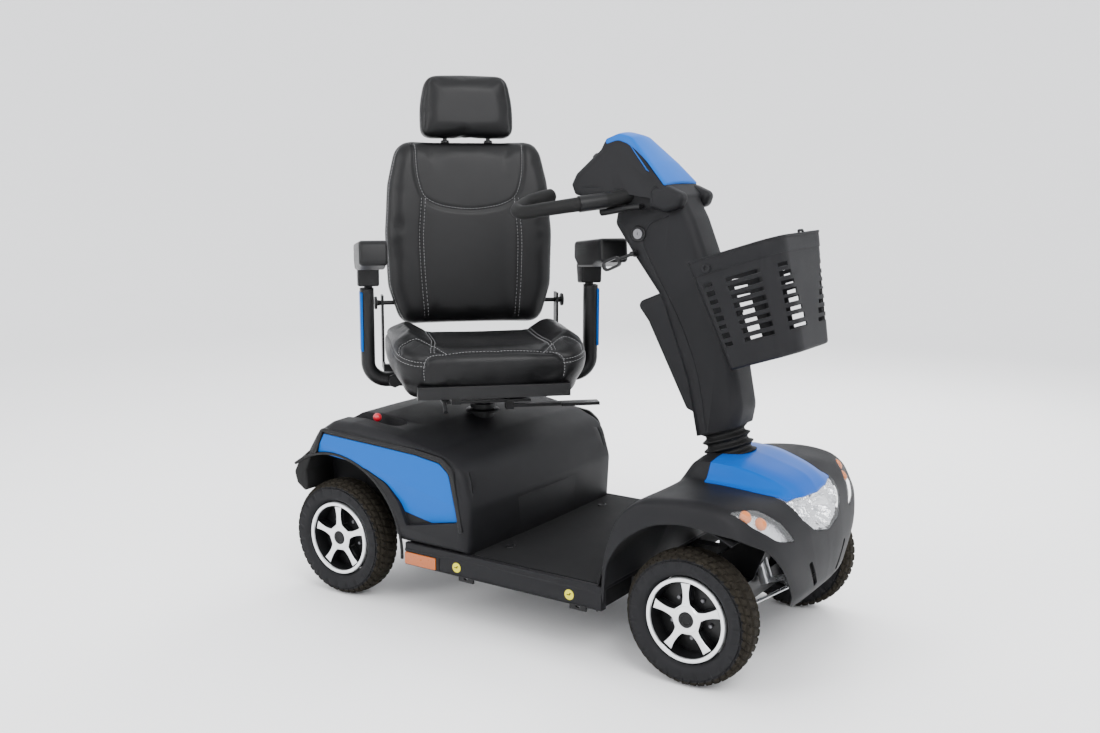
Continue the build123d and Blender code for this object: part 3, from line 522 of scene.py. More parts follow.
def block_height(across, around):
    """1 on top of a tread block, 0 in the grooves round it."""
    row = math.floor(across)
    stagger = 0.5 * (row % 2)
    u = across - row
    v = (around + stagger + 0.12 * math.sin(2 * math.pi * u)) % 1.0
    edge = min(min(u, 1 - u), min(v, 1 - v) * 1.15)
    return clamp((edge - GROOVE / 2) / 0.09)


def tyre_profile():
    """Half-width x and radius of the carcass, bead to bead, with the tread share of each point."""
    points = []
    for k in range(PROFILE_STEPS + 1):
        share = -1 + 2 * k / PROFILE_STEPS
        angle = share * math.radians(152)
        x = TYRE_HALF * math.copysign(abs(math.sin(angle)) ** 0.8, angle)
        rise = math.copysign(abs(math.cos(angle)) ** 0.62, math.cos(angle))
        r = CARCASS_R + (TYRE_R - CARCASS_R) * rise
        points.append((x, r, share))
    return points


def tyre():
    """One tyre, with its tread in a dusty shade; +Z is its axle."""
    turns = TREAD_BLOCKS * TREAD_STEPS
    rings = []
    profile = tyre_profile()
    for i in range(turns):
        angle = 2 * math.pi * i / turns
        around = i / TREAD_STEPS
        ring = []
        for x, r, share in profile:
            across = (share / TREAD_SHARE * 0.5 + 0.5) * TREAD_ROWS
            low = 0.0
            if 0 <= across < TREAD_ROWS:
                low = TREAD_DEPTH * (1 - block_height(across, around))
            elif abs(share) < 0.62:
                lug = min((around * 0.5) % 1.0, 1 - (around * 0.5) % 1.0)
                low = LUG_DEPTH * (1 - clamp((lug - 0.1) / 0.06))
            depth = Vector((-x * 0.35, r - CARCASS_R)).normalized() * low
            rr, xx = r - depth.y, x + depth.x
            ring.append((rr * math.cos(angle), rr * math.sin(angle), xx))
        rings.append(ring)
    count = len(profile)
    points = [p for ring in rings for p in ring]
    faces = []
    for i in range(turns):
        j = (i + 1) % turns
        for k in range(count):
            m = (k + 1) % count
            faces.append((i * count + k, i * count + m, j * count + m, j * count + k))
    made = new_object("tyre", points, faces)
    paint(made, TYRE)
    paint(made, TREAD)
    for face in made.data.polygons:
        c = face.center / MM
        face.material_index = int(math.hypot(c.x, c.y) > 136 and abs(c.z) < 38)
    return made


SPOKES = 5
SPOKE_TIP_R = 81.0
HUB_FACE_R = 30.0


def spoke_outline():
    """Star of five spokes, narrow in the middle and flared at both ends."""
    points = []
    side = []
    for k in range(9):
        r = HUB_FACE_R + 3 + (SPOKE_TIP_R - HUB_FACE_R - 3) * k / 8
        t = (r - 52) / 30
        side.append((r, 7.2 + (4.6 if t > 0 else 7.5) * t * t))
    for i in range(SPOKES):
        angle = math.pi / 2 + 2 * math.pi * i / SPOKES
        turn = Matrix.Rotation(angle, 2)
        for r, w in side:
            points.append(turn @ Vector((r, -w)))
        for r, w in reversed(side):
            points.append(turn @ Vector((r, w)))
    return points


def rim():
    """Machined lip and spokes over a black barrel; +Z is the outer side."""
    lip = lathe("lip", [(RIM_R, 27), (RIM_R, 33), (93, 35.5), (90, 36.2), (85.5, 35.2), (84.4, 33),
                        (84.4, 27)])
    paint(lip, SILVER)
    barrel = lathe("barrel", [(94.4, 29), (84.6, 32), (82.4, 24), (80, -18), (83, -33), (92, -35),
                              (94.4, -33), (91, -20), (90, 10)])
    paint(barrel, RIM_BLACK)
    web = paint(lathe("web", [(26, 2), (80.5, -4), (80.5, -9), (26, -6)], 64), RIM_BLACK)
    star = moulding("star", spoke_outline(), 17, 28.5, 1.6, axis="Z", steps=3)
    paint(star, SILVER)
    paint(star, RIM_BLACK)
    for face in star.data.polygons:
        face.material_index = int(face.normal.z < 0.35)
    stalks = []
    for i in range(SPOKES):
        angle = math.pi / 2 + 2 * math.pi * i / SPOKES
        stalk = paint(block("stalk", (34, -7, -4), (84, 7, 18), 3), RIM_BLACK)
        stalks.append(move(stalk, Matrix.Rotation(angle, 4, "Z")))
    hub = lathe("hub", [(12.05, -34), (30, -34), (31, -30), (31, 18), (29, 27), (21, 28.4), (12.05, 24)], 48)
    paint(hub, RIM_BLACK)
    ring = paint(lathe("ring", [(18, 28), (18.2, 30), (29, 29.6), (30.5, 28)], 64), SILVER)
    cap = lathe("cap", [(0.1, 24), (17.4, 24), (17.6, 29.5), (16, 31.5), (11, 32), (10, 30.4),
                        (0.1, 30.2)], 48)
    paint(cap, PLASTIC_FINE)
    nuts = []
    for i in range(SPOKES):
        angle = math.pi / 2 + 2 * math.pi * (i + 0.5) / SPOKES
        nut = paint(lathe("nut", [(0.1, -4), (5, -4), (5, 3), (4, 4.4), (0.1, 4.6)], 6), CASTING)
        nuts.append(move(nut, Matrix.Rotation(angle, 4, "Z") @ Matrix.Translation((48, 0, 2))))
    return join("rim", [lip, barrel, web, star, hub, ring, cap] + stalks + nuts)


def wheels():
    """Four wheels from one tyre and one rim, each turned to its own side."""
    base_tyre = tyre()
    base_rim = rim()
    for end, end_y in (("front", -AXLE_Y), ("rear", AXLE_Y)):
        for side, x in (("left", 1), ("right", -1)):
            outward = Matrix.Rotation(x * math.pi / 2, 4, "Y")
            place = Matrix.Translation((x * HALF_TRACK, end_y, TYRE_R)) @ outward
            place = place @ Matrix.Rotation(x * math.pi / 2 + math.radians(3), 4, "Z")
            for kind, base in (("tyre", base_tyre), ("rim", base_rim)):
                name = f"{kind}_{end}_{side}"
                made = bpy.data.objects.new("detailed_" + name, base.data.copy())
                bpy.context.scene.collection.objects.link(made)
                move(made, place)
                dress(made, f"wheel_{end}_{side}", TYRE, [name], 30)
    bpy.data.objects.remove(base_tyre)
    bpy.data.objects.remove(base_rim)


# ---- front shroud: ribs across the nose, from the foot behind the wheels to the lowest lip
SHROUD_RIBS = [
    [(0, -300, 186), (70, -300, 186), (120, -300, 186), (150, -300, 186), (230, -299, 185), (305, -298, 183),
     (329, -297, 178), (333, -304, 150)],
    [(0, -328, 240), (70, -327, 240), (118, -325, 240), (150, -320, 240), (230, -311, 240), (305, -303, 239),
     (330, -301, 237), (332.5, -310, 230)],
    [(0, -362, 322), (70, -360, 322), (120, -357, 320), (152, -347, 314), (230, -334, 310), (303, -320, 309),
     (329, -317, 306), (332.5, -346, 298)],
    [(0, -390, 402), (68, -388, 401), (116, -384, 397), (148, -368, 376), (228, -356, 370), (300, -346, 367),
     (327, -344, 360), (332.5, -378, 325)],
    [(0, -424, 455), (70, -424, 454), (118, -424, 448), (146, -416, 412), (224, -404, 404), (297, -398, 401),
     (325, -399, 391), (332.5, -430, 352)],
    [(0, -500, 456), (68, -500, 453), (114, -500, 445), (142, -500, 409), (222, -500, 410), (296, -500, 411),
     (325, -500, 401), (332.5, -501, 363)],
    [(0, -572, 441), (62, -571, 438), (104, -570, 430), (136, -568, 402), (218, -565, 408), (290, -562, 407),
     (321, -560, 396), (331, -563, 357)],
    [(0, -634, 418), (56, -632, 414), (96, -630, 405), (134, -626, 394), (208, -620, 395), (274, -612, 391),
     (307, -604, 378), (320, -606, 350)],
    [(0, -668, 372), (54, -667, 372), (96, -664, 371), (134, -660, 368), (196, -653, 364), (254, -643, 359),
     (287, -633, 350), (301, -631, 338)],
    [(0, -690, 306), (52, -689, 306), (92, -687, 306), (128, -683, 306), (184, -676, 308), (227, -668, 311),
     (250, -660, 314), (260, -656, 315)],
    [(0, -697, 248), (46, -696, 248), (82, -694, 249), (110, -691, 249), (150, -686, 250), (178, -681, 252),
     (195, -676, 254), (202, -673, 255)],
    [(0, -691, 192), (36, -690, 192), (62, -689, 192), (86, -687, 193), (115, -683, 193), (136, -678, 194),
     (148, -673, 195), (153, -670, 195)],
    [(0, -648, 138), (26, -648, 138), (44, -648, 138), (60, -648, 139), (78, -648, 140), (92, -648, 142),
     (100, -648, 144), (103, -648, 145)],
]
SHROUD_ALONG = 10         # grid rows between two ribs
SHROUD_ACROSS = 9         # grid columns between two points of a rib
CREST = 2                 # the point of each rib on the hood's crisp upper edge


def shroud_skin(name, lift, wall):
    """Sheet through the ribs, raised by lift and thickened inwards."""
    columns = [smooth_line([rib[k] for rib in SHROUD_RIBS], SHROUD_ALONG) for k in range(len(SHROUD_RIBS[0]))]
    rows = []
    for i in range(len(columns[0])):
        rib = [column[i] for column in columns]
        half = smooth_line(rib[:CREST + 1], SHROUD_ACROSS)[:-1] + smooth_line(rib[CREST:], SHROUD_ACROSS)
        rows.append([Vector((-p.x, p.y, p.z)) for p in reversed(half[1:])] + half)
    skin = sheet_grid(name, rows)
    outward = skin.data.polygons[0].normal.y > 0
    if not outward:
        skin.data.flip_normals()
    if lift:
        skin.data.update()
        normals = [v.normal.copy() for v in skin.data.vertices]
        for v, n in zip(skin.data.vertices, normals):
            v.co += n * (lift * MM)
    return thicken(skin, wall)


HOOD_PLAN = rounded([(155, -452, 8), (149, -520, 60), (139, -585, 60), (126, -640, 8), (66, -656, 60),
                     (0, -661, 60), (-66, -656, 60), (-126, -640, 8), (-139, -585, 60), (-149, -520, 60),
                     (-155, -452, 8)], 5)
LAMP_FRONT = rounded([(134, 392, 6), (112, 350, 60), (66, 316, 50), (0, 302, 60), (-66, 316, 50),
                      (-112, 350, 60), (-134, 392, 6), (-124, 430, 4), (124, 430, 4)], 6)
LEAF = rounded([(-86, -20, 3), (-26, -32, 70), (42, -12, 60), (94, 20, 3), (26, 34, 70), (-42, 10, 70)], 6)
LEAF_AXES = ((0.91, 0.544, 0.244), (0.38, -0.72, 0.58))
SHUT_LINE = 1.3
BULBS_ALONG = (50.0, 12.0)
REFLECTOR_TOP = 396.0
# x, z and radius of each reflector bowl
BOWLS = ((-88.0, 366.0, 25.0), (0.0, 346.0, 42.0), (88.0, 366.0, 25.0))
REFLECTOR_COLUMNS = 131
REFLECTOR_LEVELS = 66
REFLECTOR_STEP = 2.0


def leaf_plane(side):
    """Frame of a turn lamp: its own x along the leaf, z out of the fender."""
    z = Vector(LEAF_AXES[1]).normalized()
    x = (Vector(LEAF_AXES[0]) - z * Vector(LEAF_AXES[0]).dot(z)).normalized()
    turn = Matrix((x, z.cross(x), z)).transposed().to_4x4()
    place = Matrix.Translation((226, -628, 352)) @ turn
    return place if side > 0 else Matrix.Diagonal((-1, 1, 1, 1)) @ place


def leaf_tool(side, grow, low, high):
    tool = moulding("leaf_tool", inset(LEAF, -grow), low, high, 0.4, axis="Z", steps=1)
    move(tool, leaf_plane(side))
    fix_normals(tool)
    return tool


def nose_slot(side):
    """Slanted slot low on the nose."""
    outline = rounded([(96, 256, 5), (112, 254, 5), (68, 190, 5), (54, 194, 5)], 4)
    outline = [Vector((side * p.x, p.y)) for p in outline]
    tool = moulding("slot_tool", outline, -720, -664, 1.0, axis="Y", steps=1)
    return tool


def wheel_well(side):
    """Dark liner round the back and top of a front wheel."""
    rows = []
    for k in range(25):
        angle = math.radians(-6 + 126 * k / 24)
        y = -AXLE_Y + (ARCH_R - 1) * math.cos(angle)
        z = TYRE_R + (ARCH_R - 1) * math.sin(angle)
        rows.append([(side * x, y, z) for x in (FRONT_WELL_X, 200, 240, 280, 320, 330)])
    return thicken(sheet_grid("liner", rows), 3, 1.0)


def front_shroud():
    shell = shroud_skin("shroud", 0, 4)
    hood = shroud_skin("hood", 1.2, 3)
    lamp = shroud_skin("lamp", 0.4, 3)
    boot_hole = sweep("hole", [BOOT_CENTRE - STEER_DIR * 90, BOOT_CENTRE + STEER_DIR * 60], 58, 64)
    boolean(shell, boot_hole, keep_tool=True)
    boolean(hood, boot_hole)
    boolean(shell, moulding("t", HOOD_PLAN, 340, 520, 0.1, axis="Z", steps=1))
    hood_plan = inset(HOOD_PLAN, SHUT_LINE)
    boolean(hood, moulding("t", hood_plan, 340, 520, 0.1, axis="Z", steps=1), "INTERSECT")
    boolean(shell, moulding("t", LAMP_FRONT, -740, -616, 0.1, axis="Y", steps=1))
    lamp_front = inset(LAMP_FRONT, SHUT_LINE)
    boolean(lamp, moulding("t", lamp_front, -740, -616, 0.1, axis="Y", steps=1), "INTERSECT")
    boolean(lamp, moulding("t", inset(HOOD_PLAN, -0.2), 330, 520, 0.1, axis="Z", steps=1))
    lenses = []
    for side in (-1, 1):
        leaf = shroud_skin("leaf", 0.8, 2.5)
        boolean(leaf, leaf_tool(side, -1.0, -40, 60), "INTERSECT")
        lenses.append(leaf)
        boolean(shell, leaf_tool(side, 0.3, -40, 60))
        boolean(shell, nose_slot(side))
    for piece in (shell, hood):
        bevel(piece, 0.7, 2, 50)
    parts = [shell] + [wheel_well(side) for side in (-1, 1)]
    paint(shell, PLASTIC)
    for liner in parts[1:]:
        paint(liner, DARK)
    dress(join("front_shroud_skin", parts), "chassis", PLASTIC, ["front_shroud"], 42)
    dress(hood, "chassis", HOOD_BLUE, ["hood_panel"], 42)
    hood.name = "hood_skin"
    lamp.name = "headlamp_cover"
    dress(lamp, "chassis", LENS, ["headlamp_lens"], 42)
    lens = join("turn_lamp_covers", lenses)
    dress(lens, "chassis", LENS, ["indicator_lenses"], 42)
    turn_lamps()
    headlamp_bowls()


def turn_lamps():
    """Chrome trough and two amber bulbs behind each turn lamp cover."""
    skin = surface_of(shroud_skin("probe", 0, 2))
    parts = []
    for side in (-1, 1):
        trough = shroud_skin("trough", -11, 2)
        boolean(trough, leaf_tool(side, 3.0, -60, 60), "INTERSECT")
        paint(trough, CHROME)
        parts.append(trough)
        plane = leaf_plane(side)
        for along in BULBS_ALONG:
            above = plane @ Vector((along, along * 0.3, 60))
            hit, _, _, _ = skin.ray_cast(above * MM, -(plane.to_3x3() @ Vector((0, 0, 1))))
            bulb = lathe("bulb", [(0.1, 6.5), (6, 5.8), (11, 3.6), (14, 0), (13.5, -3), (0.1, -4)], 28)
            paint(bulb, BULB)
            depth = (plane.inverted() @ (hit / MM)).z - 8
            parts.append(move(bulb, plane @ Matrix.Translation((along, along * 0.3, depth))))
            fix_normals(bulb)
    bpy.data.objects.remove(bpy.data.objects["probe"])
    dress(join("turn_lamp_insides", parts), "chassis", CHROME)


def inside(outline, x, z):
    """Whether a point lies inside a closed outline."""
    hit = False
    for a, b in zip(outline, outline[1:] + outline[:1]):
        if (a.y > z) != (b.y > z) and x < a.x + (z - a.y) * (b.x - a.x) / (b.y - a.y):
            hit = not hit
    return hit


def headlamp_bowls():
    """Fluted reflector with a round bowl and bulb for each beam, behind the headlamp cover."""
    probe = shroud_skin("probe", 0, 2)
    skin = surface_of(probe)
    bpy.data.objects.remove(probe)
    mouth = inset(LAMP_FRONT, 1.5)
    columns, levels = REFLECTOR_COLUMNS, REFLECTOR_LEVELS
    cover = inset(HOOD_PLAN, 8)
    points, faces, fronts = [], [], []
    for k in range(levels):
        for i in range(columns):
            x, z = -130 + REFLECTOR_STEP * i, 300 + REFLECTOR_STEP * k
            hit, _, _, _ = skin.ray_cast(Vector((x, -800, min(z, 404))) * MM, Vector((0, 1, 0)))
            depth = 9 + 1.6 * math.cos(x * 0.62)
            for centre, low, radius in BOWLS:
                away = math.hypot(x - centre, z - low) / radius
                if away < 1:
                    flute = 1.6 * math.cos(11 * math.atan2(z - low, x - centre))
                    depth = 10 + 34 * (1 - away * away) + flute
                elif away < 1.08:
                    depth = 5
            points.append((x, hit.y / MM + depth, z))
            fronts.append(hit.y / MM)
    for k in range(levels - 1):
        for i in range(columns - 1):
            a = k * columns + i
            behind_lamp = inside(mouth, points[a][0] + 1, points[a][2] + 1)
            if behind_lamp and points[a][2] < REFLECTOR_TOP and not inside(cover, points[a][0], fronts[a]):
                faces.append((a, a + 1, a + columns + 1, a + columns))
    reflector = new_object("reflector", points, faces)
    if reflector.data.polygons[0].normal.y > 0:
        reflector.data.flip_normals()
    paint(reflector, CHROME)
    parts = [thicken(reflector, 1.2)]
    for centre, low, radius in BOWLS:
        bulb = paint(lathe("bulb", [(0.1, 16), (4, 15), (6, 11), (6, -8), (0.1, -9)], 24), ZINC)
        hit, _, _, _ = skin.ray_cast(Vector((centre, -800, low)) * MM, Vector((0, 1, 0)))
        forward = Matrix.Rotation(math.pi / 2, 4, "X")
        parts.append(move(bulb, Matrix.Translation((centre, hit.y / MM + 26, low)) @ forward))
    dress(join("headlamp_inside", parts), "chassis", CHROME, ["headlamp_reflector"])


# ---- rear body
REAR_SIDE = [(76, DECK_Z + 1, 0), (70, 300, 60), (98, 392, 70), (176, 424, 90), (300, 446, 120),
             (440, 461, 60), (506, 458, 40), (560, 424, 40), (598, 366, 30), (607, 300, 30),
             (604, 214, 10), (560, 190, 10), (300, DECK_Z + 1, 0)]
PANEL = rounded([(102, 264, 5), (128, 378, 26), (156, 400, 24), (228, 410, 60), (340, 416, 80),
                 (528, 424, 5), (558, 372, 5), (458, 366, 60), (384, 352, 60), (322, 326, 60),
                 (282, 284, 60), (258, 231, 4)], 6)
PANEL_LIP = rounded([(84, 240, 4), (112, 392, 40), (146, 416, 34), (230, 426, 60), (340, 432, 80),
                     (536, 440, 20), (572, 372, 5), (556, 368, 3), (530, 430, 3), (340, 421, 80),
                     (228, 415, 60), (152, 404, 24), (122, 380, 26), (96, 240, 3)], 6)
REAR_EDGE = 24.0
TRAY_X = (-268.0, -206.0)
TRAY_Y = (342.0, 536.0)


def crown(obj, centre_y, depth, top):
    """Bulge the front face forward and the top up towards the middle plane."""
    for v in obj.data.vertices:
        share = 1 - min(1.0, (v.co.x / (BODY_HALF * MM)) ** 2)
        y, z = v.co.y / MM, v.co.z / MM
        v.co.y -= depth * MM * share * clamp((centre_y - y) / 90)
        v.co.z += top * MM * share * clamp((z - 330) / 90)
    return obj


def flank_panel(name, outward, side):
    """Painted flank: upright above its fold, leaning in below it."""
    rows = []
    for i in range(56):
        y = 70 + 10 * i
        fold = 300 + (y - 101) * 0.225
        row = []
        for z in [200 + 8 * k for k in range(31)] + [fold]:
            bulge = 2.0 * math.sin(math.pi * clamp((y - 90) / 480))
            lean = 0.16 * max(0.0, fold - z)
            row.append((side * (BODY_HALF + outward + bulge - 2 - lean), y, z))
        rows.append(sorted(row, key=lambda p: p[2]))
    skin = sheet_grid(name, rows)
    if (skin.data.polygons[0].normal.x > 0) != (side > 0):
        skin.data.flip_normals()
    skin.data.update()
    return thicken(skin, 5)


def rear_cover():
    """Rear body with its wheel wells, panel pockets, creases and lever tray, and the painted flanks."""
    body = moulding("rear_body", REAR_SIDE, -BODY_HALF, BODY_HALF, REAR_EDGE, steps=7, middle=16)
    crown(body, 160, 10, 7)
    post = [Vector((0, SEAT_POST_Y, 380)), Vector((0, SEAT_POST_Y, 520))]
    boolean(body, sweep("post_hole", post, 36, 48))
    collar = lathe("collar", [(30, 0), (44, 0), (44, 5), (40, 8), (33, 8), (30, 5)], 64)
    move(paint(collar, PLASTIC_FINE), Matrix.Translation((0, SEAT_POST_Y, 458)))
    for side in (-1, 1):
        cut_flank(body, side)
    fold = rounded([(-150, 286, 2), (250, 286, 2), (240, 292, 2), (-150, 292, 2)], 3)
    boolean(body, moulding("crease", fold, 40, 62.5, 0.5, axis="Y", steps=2))
    (x0, x1), (y0, y1) = TRAY_X, TRAY_Y
    tray = rounded([(x0, y0, 26), (x1, y0, 26), (x1, y1, 26), (x0, y1, 26)], 8)
    boolean(body, moulding("tray", tray, 438, 520, 3, axis="Z", steps=3))
    slit = rounded([(-246, 384, 5), (-228, 384, 5), (-228, 462, 5), (-246, 462, 5)], 4)
    boolean(body, moulding("slit", slit, 370, 520, 0.2, axis="Z", steps=1))
    bevel(body, 0.9, 2, 50)
    parts = [paint(body, PLASTIC), collar]
    for side in (-1, 1):
        parts += flank_trim(side)
    dress(join("rear_body_skin", parts), "chassis", PLASTIC, ["rear_cover"], 40)
    blues = []
    for side in (-1, 1):
        blue = flank_panel("flank", 0.5, side)
        low, high = span(side, BODY_HALF - 40, BODY_HALF + 20)
        boolean(blue, moulding("t", PANEL, low, high, 0.1, steps=1), "INTERSECT")
        blues.append(bevel(blue, 0.8, 2, 50))
    dress(join("flank_panels", blues), "chassis", BLUE, ["side_panels"], 20)


def cut_flank(body, side):
    """Cut the wheel well, the painted panel's pocket and the grooves of one flank."""
    well = [(0.1, REAR_WELL_X), (REAR_ARCH_R, REAR_WELL_X), (REAR_ARCH_R, 380), (0.1, 380)]
    well = lathe("well", well, 96)
    turn = Matrix.Rotation(side * math.pi / 2, 4, "Y")
    move(well, Matrix.Translation((0, AXLE_Y, TYRE_R)) @ turn)
    fix_normals(well)
    boolean(body, well)
    low, high = span(side, BODY_HALF - 12, BODY_HALF + 20)
    boolean(body, moulding("pocket", inset(PANEL, -1.4), low, high, 0.2, steps=1))
    groove = rounded([(284, 426, 2.5), (289, 426, 2.5), (302, 330, 2.5), (298, 330, 2.5)], 3)
    groove = [Vector((side * p.x, p.y)) for p in groove]
    boolean(body, moulding("groove", groove, 40, 96, 0.2, axis="Y", steps=1))
    boolean(body, block("foot_slot", (side * 332 - 4, 96, 190), (side * 332 + 4, 214, 194), 1))


def flank_trim(side):
    """Raised lip round the painted panel, and the bead round the wheel arch."""
    low, high = span(side, BODY_HALF - 8, BODY_HALF + 2.5)
    lip = moulding("lip", PANEL_LIP, low, high, 1.8, steps=3)
    radius = REAR_ARCH_R + 1
    trim = []
    for k in range(25):
        angle = math.radians(-2 + 128 * k / 24)
        y, z = AXLE_Y - radius * math.cos(angle), TYRE_R + radius * math.sin(angle)
        trim.append(Vector((side * (BODY_HALF - 2), y, z)))
    bead = sweep("bead", trim, 4.0, 12, up=(1, 0, 0))
    return [paint(lip, PLASTIC_FINE), paint(bead, PLASTIC_FINE)]


def rear_bumper():
    outline = [(592, 272, 3), (602, 262, 6), (630, 280, 10), (639, 309, 12), (620, 345, 12), (586, 372, 5),
               (574, 366, 4), (596, 320, 12)]
    bar = moulding("bumper_bar", outline, -BODY_HALF + 2, BODY_HALF - 2, 5, steps=5, middle=12, arc=5)
    for side in (-1, 1):
        notch = moulding("notch", rounded([(600, 306, 2), (646, 306, 2), (646, 311, 2), (600, 311, 2)], 3),
                         side * 150 - 120, side * 150 + 120, 0.4, steps=1)
        boolean(bar, notch)
    dress(bevel(bar, 0.8, 2, 50), "chassis", RUBBER, ["rear_bumper"])


def tail_lamps():
    lamps = []
    for side in (-1, 1):
        corners = [(210, 386), (290, 386), (286, 413), (214, 413)]
        outline = rounded([(side * x, z, 8) for x, z in corners], 5)
        lens = moulding("lens", outline, -3, 3, 2.5, axis="Y", steps=4)
        tilt = Matrix.Rotation(math.radians(-37), 4, "X") @ Matrix.Translation((0, 0, -400))
        lamps.append(move(lens, Matrix.Translation((0, 573, 400)) @ tilt))
    dress(join("tail_lamp_lenses", lamps), "chassis", RED, ["tail_lamps"])


# ---- floor
def floor():
    """Deck with a raised kerb along each side, and recessed sills."""
    half = BODY_HALF
    section = rounded([(-half, 130, 4), (-half, 170, 2), (-half + 2, 173, 2), (-half + 2, 186, 3),
                       (-half + 13, 187, 3), (-half + 16, DECK_Z, 2), (half - 16, DECK_Z, 2),
                       (half - 13, 187, 3), (half - 2, 186, 3), (half - 2, 173, 2), (half, 170, 2),
                       (half, 130, 4), (half - 22, 130, 3), (half - 22, 174, 3), (-half + 22, 174, 3),
                       (-half + 22, 130, 3)], 3)
    deck = moulding("deck", section, -300, 265, 1.5, axis="Y", steps=2, middle=4)
    tower = block("tower", (-95, SEAT_POST_Y - 50, 100), (95, SEAT_POST_Y + 60, 300), 2)
    boolean(deck, tower)
    for side in (-1, 1):
        x0, x1 = span(side, half - 1.6, half + 8)
        recess = rounded([(-288, 134, 3), (158, 134, 3), (158, 167, 3), (-288, 167, 3)], 3)
        boolean(deck, moulding("recess", recess, x0, x1, 0.2, steps=1))
        x0, x1 = span(side, half - 4, half + 8)
        seat = rounded([(166, 131, 3), (272, 131, 3), (272, 165, 3), (166, 165, 3)], 3)
        boolean(deck, moulding("seat", seat, x0, x1, 0.2, steps=1))
    paint(deck, PLASTIC)
    rails = [block("rail", (side * 142, -20, 162), (side * 321, 20, 177), 1) for side in (-1, 1)]
    for rail in rails:
        paint(rail, DARK)
    dress(join("floor_deck", [deck] + rails), "chassis", PLASTIC, ["floor_pan"])
    side_x = half - 18
    mat_outline = rounded([(-side_x, -296, 12), (side_x, -296, 12), (side_x, 72, 12), (-side_x, 72, 12)], 5)
    mat = paint(moulding("mat", mat_outline, DECK_Z - 1, DECK_Z + 3.6, 1.2, axis="Z", steps=3), MAT)
    bosses = []
    for side in (-1, 1):
        for y in (-250, 30):
            boss = lathe("boss", [(0.1, 0), (15, 0), (14, 2.4), (11, 3.2), (9, 2.2), (0.1, 2.0)], 40)
            paint(boss, PLASTIC_FINE)
            oval = Matrix.Diagonal((1, 0.7, 1, 1))
            bosses.append(move(boss, Matrix.Translation((side * 214, y, DECK_Z + 3)) @ oval))
    dress(join("ribbed_mat", [mat] + bosses), "chassis", MAT, ["floor_mat"])
    side_markers()


DISC_Y = (-215.0, 105.0)
HOOK_MARK = [(-6, -1.3, 0.6), (3, -1.3, 0.6), (3, 2.2, 0.6), (6, 2.2, 0.6), (6, 4.4, 0.6), (0.8, 4.4, 0.6),
             (0.8, 1, 0.6), (-6, 1, 0.6)]


def side_markers():
    """Amber reflector blocks and the round tie-down discs."""
    markers = []
    for side in (-1, 1):
        x0, x1 = span(side, BODY_HALF - 3.5, BODY_HALF + 2)
        outline = rounded([(168, 133, 3), (264, 133, 3), (264, 163, 3), (168, 163, 3)], 4)
        marker = moulding("marker", outline, x0, x1, 1.4, steps=3)
        markers.append(marker)
    dress(join("side_marker_lenses", markers), "chassis", AMBER, ["side_reflectors"])
    discs = []
    for side in (-1, 1):
        turn = Matrix.Rotation(side * math.pi / 2, 4, "Y") @ Matrix.Rotation(side * math.pi / 2, 4, "Z")
        for y in DISC_Y:
            disc = lathe("disc", [(0.1, 0), (12, 0), (12, 1.0), (11.4, 1.4), (0.1, 1.4)], 40)
            mark = moulding("mark", rounded(HOOK_MARK, 2), 1.2, 1.9, 0.2, axis="Z", steps=1)
            place = Matrix.Translation((side * (BODY_HALF - 1.7), y, 152)) @ turn
            discs += [move(paint(disc, YELLOW), place), move(paint(mark, DARK), place)]
    dress(join("tie_down_discs", discs), "chassis", YELLOW)


# ---- tiller
COLUMN_HALF = 56.0
COLUMN_SIDE = [(-474, 470, 10), (-490, 560, 60), (-462, 700, 200), (-398, 882, 200), (-356, 985, 60),
               (-322, 1044, 20), (-214, 1044, 20), (-156, 1000, 16), (-150, 966, 20), (-205, 890, 160),
               (-276, 800, 120), (-348, 610, 120), (-378, 470, 10)]
COLUMN_SEAM = [(-300, 990), (-252, 968), (-236, 930), (-258, 880), (-300, 812), (-340, 740),
               (-384, 630), (-410, 500)]
COLUMN_FOOT = [(-540, 418, 1), (-320, 418, 1), (-320, 464, 1), (-540, 539, 1)]
POD_SIDE = [(-400, 528, 6), (-350, 546, 14), (-246, 742, 10), (-212, 784, 14), (-282, 814, 6),
            (-372, 622, 20)]
LOCK_Y = -222.0
LOCK_Z = 946.0
LOCK_HOLE_R = 12.2
HEAD_HALF = 84.0
HEAD_SIDE = [(-60, 1032, 10), (-50, 1056, 8), (-60, 1082, 16), (-112, 1138, 14), (-120, 1160, 16),
             (-158, 1172, 30), (-190, 1164, 30), (-256, 1104, 60), (-304, 1058, 18), (-332, 1034, 16),
             (-324, 1002, 18), (-226, 1008, 50), (-150, 1022, 40)]
CREASE = [(-74, 1050), (-120, 1053), (-190, 1046), (-250, 1040)]
CAP_SIDE = [(-121, 1161, 6), (-158, 1175, 26), (-192, 1167, 30), (-258, 1107, 80), (-304, 1060, 6),
            (-294, 1050, 3), (-248, 1092, 80), (-186, 1150, 30), (-158, 1159, 26), (-128, 1150, 4)]
CHEEK_SIDE = [(-262, 1056, 18), (-306, 1058, 30), (-350, 1040, 15), (-340, 1010, 18), (-302, 997, 24),
              (-262, 1010, 18)]
MOUTH_SIDE = [(-268, 1030, 6), (-176, 1040, 10), (-120, 1034, 4), (-120, 990, 4), (-262, 990, 4)]
CAP_HALF = 85.0
CAP_CROWN = 5.0
CAP_TIP_Z = 1076.0        # below this height the cap draws in towards its tip
BAR_POINTS = [(6, -217, 1036), (44, -208, 1036), (104, -176, 1025), (172, -122, 1014),
              (222, -72, 1004), (241, -24, 996), (224, 2, 1001), (186, 6, 1012), (146, -8, 1024),
              (108, -22, 1032)]
BAR_R = 16.5


